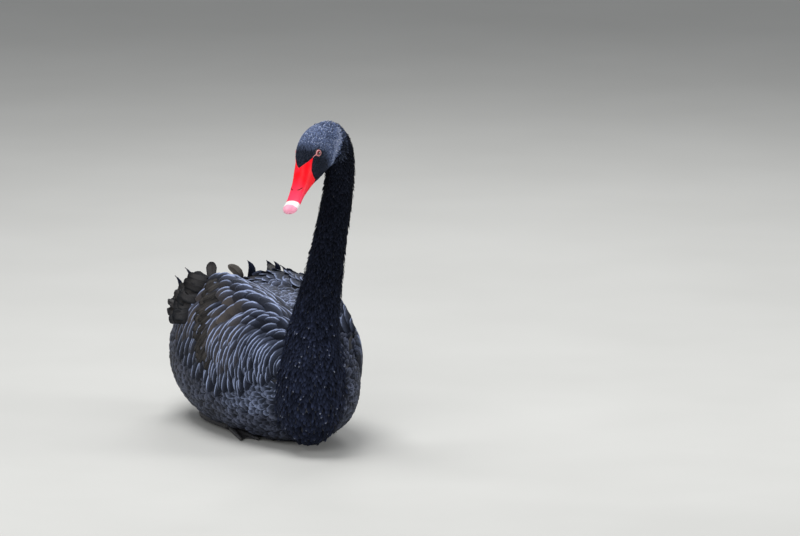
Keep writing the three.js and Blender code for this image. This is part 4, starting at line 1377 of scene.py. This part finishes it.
DEEP = (0.006, 0.007, 0.0125)
PALE = (0.275, 0.33, 0.51)
BROWN = (0.07, 0.06, 0.055)
body_finish = feather_finish(
    "black body feathers", DEEP, (0.17, 0.195, 0.29), BROWN, rim=0.36, rims=(0.5, 1.0), tips=(0.6, 1.0),
    painted_shine=0.46, vary=1.1,
)
shoulder_finish = feather_finish(
    "slate shoulder feathers", (0.014, 0.017, 0.027), PALE, (0.08, 0.095, 0.15), rim=0.55, rims=(0.5, 0.95),
    tips=(0.7, 0.98), painted_shine=0.5,
)
mantle_finish = feather_finish(
    "pale-edged mantle feathers", DEEP, PALE, BROWN, rim=0.8, rims=(0.72, 0.95), tips=(0.88, 0.98), painted_shine=0.45
)
neck_finish = feather_finish(
    "velvet neck feathers", (0.0012, 0.0013, 0.002), (0.035, 0.042, 0.07), (0.028, 0.036, 0.072), rim=0.2,
    rims=(0.6, 0.95), tips=(0.8, 0.97), barbs=8, painted_glints=0.5, gloss=0.03,
)
head_finish = feather_finish(
    "slate head feathers", (0.0016, 0.0018, 0.003), (0.22, 0.26, 0.38), (0.112, 0.148, 0.264), rim=0.14,
    rims=(0.6, 0.95), tips=(0.75, 0.97), barbs=6, painted_glints=1.0, gloss=0.06, painted_shine=0.12, vary=1.1,
)
# The wing's vanes: painted light on their raised outer edges, painted shade on their inner sides under the
# next vane
wing_finishes = {
    side: feather_finish(
        f"pale-edged {hand} wing feathers", DEEP, PALE, BROWN, rim=1.1 - 0.25 * side, rims=(0.66, 0.93),
        tips=(0.97, 1.15), shaded=(0.9, 1.1), lit=(-0.3, 0.95), outer=-side, barbs=34, vary=0.5,
    )
    for side, hand in HANDS
}
curl_finish = feather_finish(
    "brown curled feathers", (0.004, 0.004, 0.005), (0.12, 0.115, 0.115), (0.034, 0.03, 0.027), rim=1.0,
    rims=(0.6, 1.0), tips=(0.8, 1.0), shaded=(0.2, 0.8), painted_shine=0.7, edge_colour=(0.003, 0.003, 0.003),
)
buff_finish = feather_finish(
    "buff feather tips", (0.003, 0.003, 0.003), (0.26, 0.23, 0.2), (0.12, 0.105, 0.09), rim=0.3,
    rims=(0.7, 0.98), tips=(0.9, 1.0), shaded=(0.35, 0.85), painted_shine=0.8,
)


def mottled(name, scale, dark, light, roughness, depth, strength):
    """A plain finish whose bumps go with its mottling."""

    def build(nodes):
        mottle = nodes.noise(scale, 4.0)
        return {
            "Base Color": nodes.mix(mottle, dark, light),
            "Roughness": roughness,
            "Normal": bump(nodes, mottle, depth, strength),
        }

    return finish(name, build)


def bill_build(nodes):
    reach, left, slot = (nodes.attribute(name) for name in ("reach", "left", "slot"))
    fine, broad = nodes.noise(900.0, 3.0), nodes.noise(70.0, 3.0)
    edge = reach + (broad - 0.5) * 0.02 - left * left * 1.1
    red = nodes.mix(nodes.step(edge, 0.45, 0.82), (0.93, 0.002, 0.01), (0.93, 0.045, 0.11))
    red = nodes.mix(nodes.step(broad, 0.45, 0.75, 0.0, 0.35), red, (0.95, 0.03, 0.07))
    band = nodes.step(edge, BAND_FROM - 0.008, BAND_FROM + 0.008)
    colour = nodes.mix(band, red, (0.86, 0.8, 0.79))
    # painted shade in the nostrils' hollows
    colour = nodes.mix(slot, colour, (0.2, 0.006, 0.012))
    nail = nodes.step(edge, NAIL_FROM - 0.012, NAIL_FROM + 0.012)
    colour = nodes.mix(nail, colour, nodes.mix(broad, (0.8, 0.22, 0.36), (0.88, 0.46, 0.56)))
    return {
        "Base Color": colour,
        "Roughness": 0.36 + 0.15 * broad,
        "Normal": bump(nodes, fine * 0.5 + broad, 0.0004, 0.35),
        "Specular IOR Level": 0.18,
        "Subsurface Weight": 0.05,
        "Subsurface Radius": (0.004, 0.001, 0.001),
    }


def eye_build(nodes):
    turn = nodes.attribute("turn")
    iris = nodes.mix(nodes.step(turn, 0.5, 0.7), (0.2, 0.012, 0.016), (0.03, 0.004, 0.004))
    pupil = nodes.step(turn, 0.36, 0.42)
    colour = nodes.mix(pupil, (0.001, 0.001, 0.001), iris)
    return {"Base Color": colour, "Roughness": 0.08, "Coat Weight": 1.0, "Coat Roughness": 0.02}


def lid_build(nodes):
    mottle = nodes.noise(1500.0, 3.0)
    pink = nodes.mix(mottle, (0.5, 0.12, 0.13), (0.75, 0.36, 0.37))
    dark = nodes.step(nodes.attribute("turn"), 0.8, 0.92)
    return {
        "Base Color": nodes.mix(dark, pink, (0.008, 0.008, 0.01)),
        "Roughness": 0.4,
        "Normal": bump(nodes, mottle, 0.0003, 0.5),
    }


def leg_build(nodes):
    sockets = {"Vector": nodes.place(), "Scale": 420.0}
    scales = nodes.add("ShaderNodeTexVoronoi", {"feature": "DISTANCE_TO_EDGE"}, sockets)
    seam = nodes.step(scales, 0.02, 0.16)
    return {
        "Base Color": nodes.mix(seam, (0.012, 0.012, 0.014), (0.045, 0.045, 0.05)),
        "Roughness": nodes.step(seam, 0.0, 1.0, 0.7, 0.45),
        "Normal": bump(nodes, seam, 0.0004, 0.6),
    }


def floor_build(nodes):
    grain = nodes.noise(3.0, 2.0)
    return {"Base Color": nodes.mix(grain, (0.5, 0.5, 0.48), (0.56, 0.56, 0.54)), "Roughness": 0.9}


skin_finish = mottled("dark skin", 120.0, (0.006, 0.0065, 0.009), (0.02, 0.022, 0.03), 0.7, 0.0008, 0.5)
bill_finish = finish("waxy red bill", bill_build)
eye_finish = finish("wet eye", eye_build)
lid_finish = finish("pink lid", lid_build)
leg_finish = finish("scaled leg skin", leg_build)
claw_finish = mottled("claw horn", 600.0, (0.01, 0.01, 0.01), (0.05, 0.045, 0.04), 0.3, 0.0001, 0.4)


def place_piece(piece, slot, *nodes):
    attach(piece, "root")
    if nodes:
        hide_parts(*nodes)


def dress(piece, material):
    piece.data.materials.clear()
    piece.data.materials.append(material)
    return piece


# The swan
skin = dress(make_skin(), skin_finish)
place_piece(skin, "body_feathers", "torso", "neck_lower", "neck_middle", "neck_upper", "head")
skin_tree = BVHTree.FromObject(skin, bpy.context.evaluated_depsgraph_get())

for name, roots, looks in body_coats(skin_tree):
    place_piece(grow(name, roots, BODY_MODEL, looks, 0.4, 0.12, 0.15), "body_feathers")

throat = neck_coat(skin_tree)
nape = on_nape(throat["root"])
for name, keep, looks in (("neck_coat", ~nape, neck_finish), ("nape_coat", nape, head_finish)):
    place_piece(grow(name, pick(throat, keep), PLUME_MODEL, looks, 0.35, 0.1), "neck_feathers")
crown = head_coat(skin_tree)
high = to_head(crown["root"])[:, 2] > CROWN_LOWEST
for name, keep in (("crown_coat", high), ("cheek_coat", ~high)):
    place_piece(grow(name, pick(crown, keep), PLUME_MODEL, head_finish, 0.25, 0.1), "neck_feathers")

for side, hand in HANDS:
    coverts = wing_coverts(side)
    coverts = grow("wing_coverts_" + hand, coverts, BROAD_MODEL, wing_finishes[side], 0.45, 0.1, 0.1, 0.04)
    place_piece(coverts, "wing_feathers", "wing_" + hand)
    for key, spec in WING_SETS.items():
        looks = curl_finish if key in ("drooping", "curled") else wing_finishes[side]
        frill = 0.3 if key == "curled" else 0.12
        spec = spec | (LEFT_SETS.get(key, {}) if side > 0 else {})
        piece = grow(f"{key}_{hand}", wing_set(side, **spec), VANE_MODEL, looks, 0.7, 0.1, 0.16, frill)
        place_piece(piece, "wing_feathers")
pointed = standing(skin_tree, POINTED_TIPS, (0.9, -0.42, 0), 3)
place_piece(grow("pointed_tips", pointed, POINTED_MODEL, neck_finish, 0.8, 0.1), "wing_feathers")
blunt = standing(skin_tree, BLUNT_TIPS, (0.6, -0.13, 0.79), 0)
place_piece(grow("blunt_tips", blunt, VANE_MODEL, buff_finish, 0.8, 0.1, 0.05, 0.05), "wing_feathers")

tail = gather([tail_tier(**tier) for tier in TAIL_TIERS])
tail = grow("tail_feathers", tail, VANE_MODEL, body_finish, 0.8, 0.12, 0.06)
place_piece(tail, "wing_feathers", "tail")

place_piece(dress(bill_half("bill_top", True), bill_finish), "bill", "bill_upper")
place_piece(dress(bill_half("bill_base", False), bill_finish), "bill", "bill_lower")
for side, hand in HANDS:
    place_piece(dress(eyeball(side, "eyeball_" + hand), eye_finish), "eye", "eye_" + hand)
    place_piece(dress(lid_ring(side, "lid_" + hand), lid_finish), "bill")
    leg = limb("shank_" + hand, [[side * x, *rest] for x, *rest in LEG])
    place_piece(dress(leg, leg_finish), "leg_skin", "leg_" + hand)
    ends = toe_ends(side)
    toes = [toe(side, end, f"toe {hand} {k}") for k, end in enumerate(ends)]
    foot = join(toes + [web(side, "web " + hand)], "foot_skin_" + hand)
    place_piece(dress(foot, leg_finish), "leg_skin", "foot_" + hand)
    claws = join([claw(side, end, f"claw {hand} {k}") for k, end in enumerate(ends)], "claws_" + hand)
    place_piece(dress(claws, claw_finish), "leg_skin")

# Floor, light and camera
PIXEL = 1.6 * MM  # one pixel of the photograph at the bird
WIDTH = 800
FLOOR_REACH = 60
SENSOR = 36
DISTANCE = 36
CAMERA_TURN, CAMERA_TILT = 25, 9.5  # degrees to the bird's right and down
LOOK = (215.3 * MM, 257.3 * MM)  # right of and above the origin, at the middle of the frame

corners = [(FLOOR_REACH * x, FLOOR_REACH * y, 0) for x, y in ((-1, -1), (1, -1), (1, 1), (-1, 1))]
floor = dress(lump("floor", corners, [(0, 1, 2, 3)]), finish("pale floor", floor_build))


LAMPS = (
    ("soft sky", 70, 1.6, (-0.5, 0.2, 3.0)),
    ("front window", 60, 2.0, (-2.2, -2.6, 1.5)),
    ("rear window", 30, 1.2, (1.4, 2.0, 2.2)),
    ("side window", 26, 1.0, (2.2, -1.6, 1.0)),
)


def lamp(name, power, size, at, aim=(0, 0, 0.2)):
    """A square lamp turned to the middle of the bird, unseen by the camera."""
    light = bpy.data.lights.new(name, "AREA")
    light.energy = power
    light.size = size
    holder = bpy.data.objects.new(name, light)
    holder.location = at
    holder.rotation_euler = (Vector(aim) - Vector(at)).to_track_quat("-Z", "Y").to_euler()
    holder.visible_camera = False
    bpy.context.scene.collection.objects.link(holder)


for name, power, size, at in LAMPS:
    lamp(name, power, size, at)
world = bpy.data.worlds.new("pale room")
world.use_nodes = True
world.node_tree.nodes["Background"].inputs["Color"].default_value = (0.75, 0.77, 0.8, 1)
world.node_tree.nodes["Background"].inputs["Strength"].default_value = 0.4
bpy.context.scene.world = world
bpy.context.scene.view_settings.view_transform = "Standard"

lens = bpy.data.cameras.new("camera")
lens.sensor_width = SENSOR
lens.lens = SENSOR * DISTANCE / (WIDTH * PIXEL)
lens.clip_end = 200
camera = bpy.data.objects.new("camera", lens)
view = Euler((math.radians(90 - CAMERA_TILT), 0, math.radians(-CAMERA_TURN))).to_matrix()
camera.matrix_world = Matrix.Translation(view @ Vector((*LOOK, DISTANCE))) @ view.to_4x4()
bpy.context.scene.collection.objects.link(camera)
bpy.context.scene.camera = camera
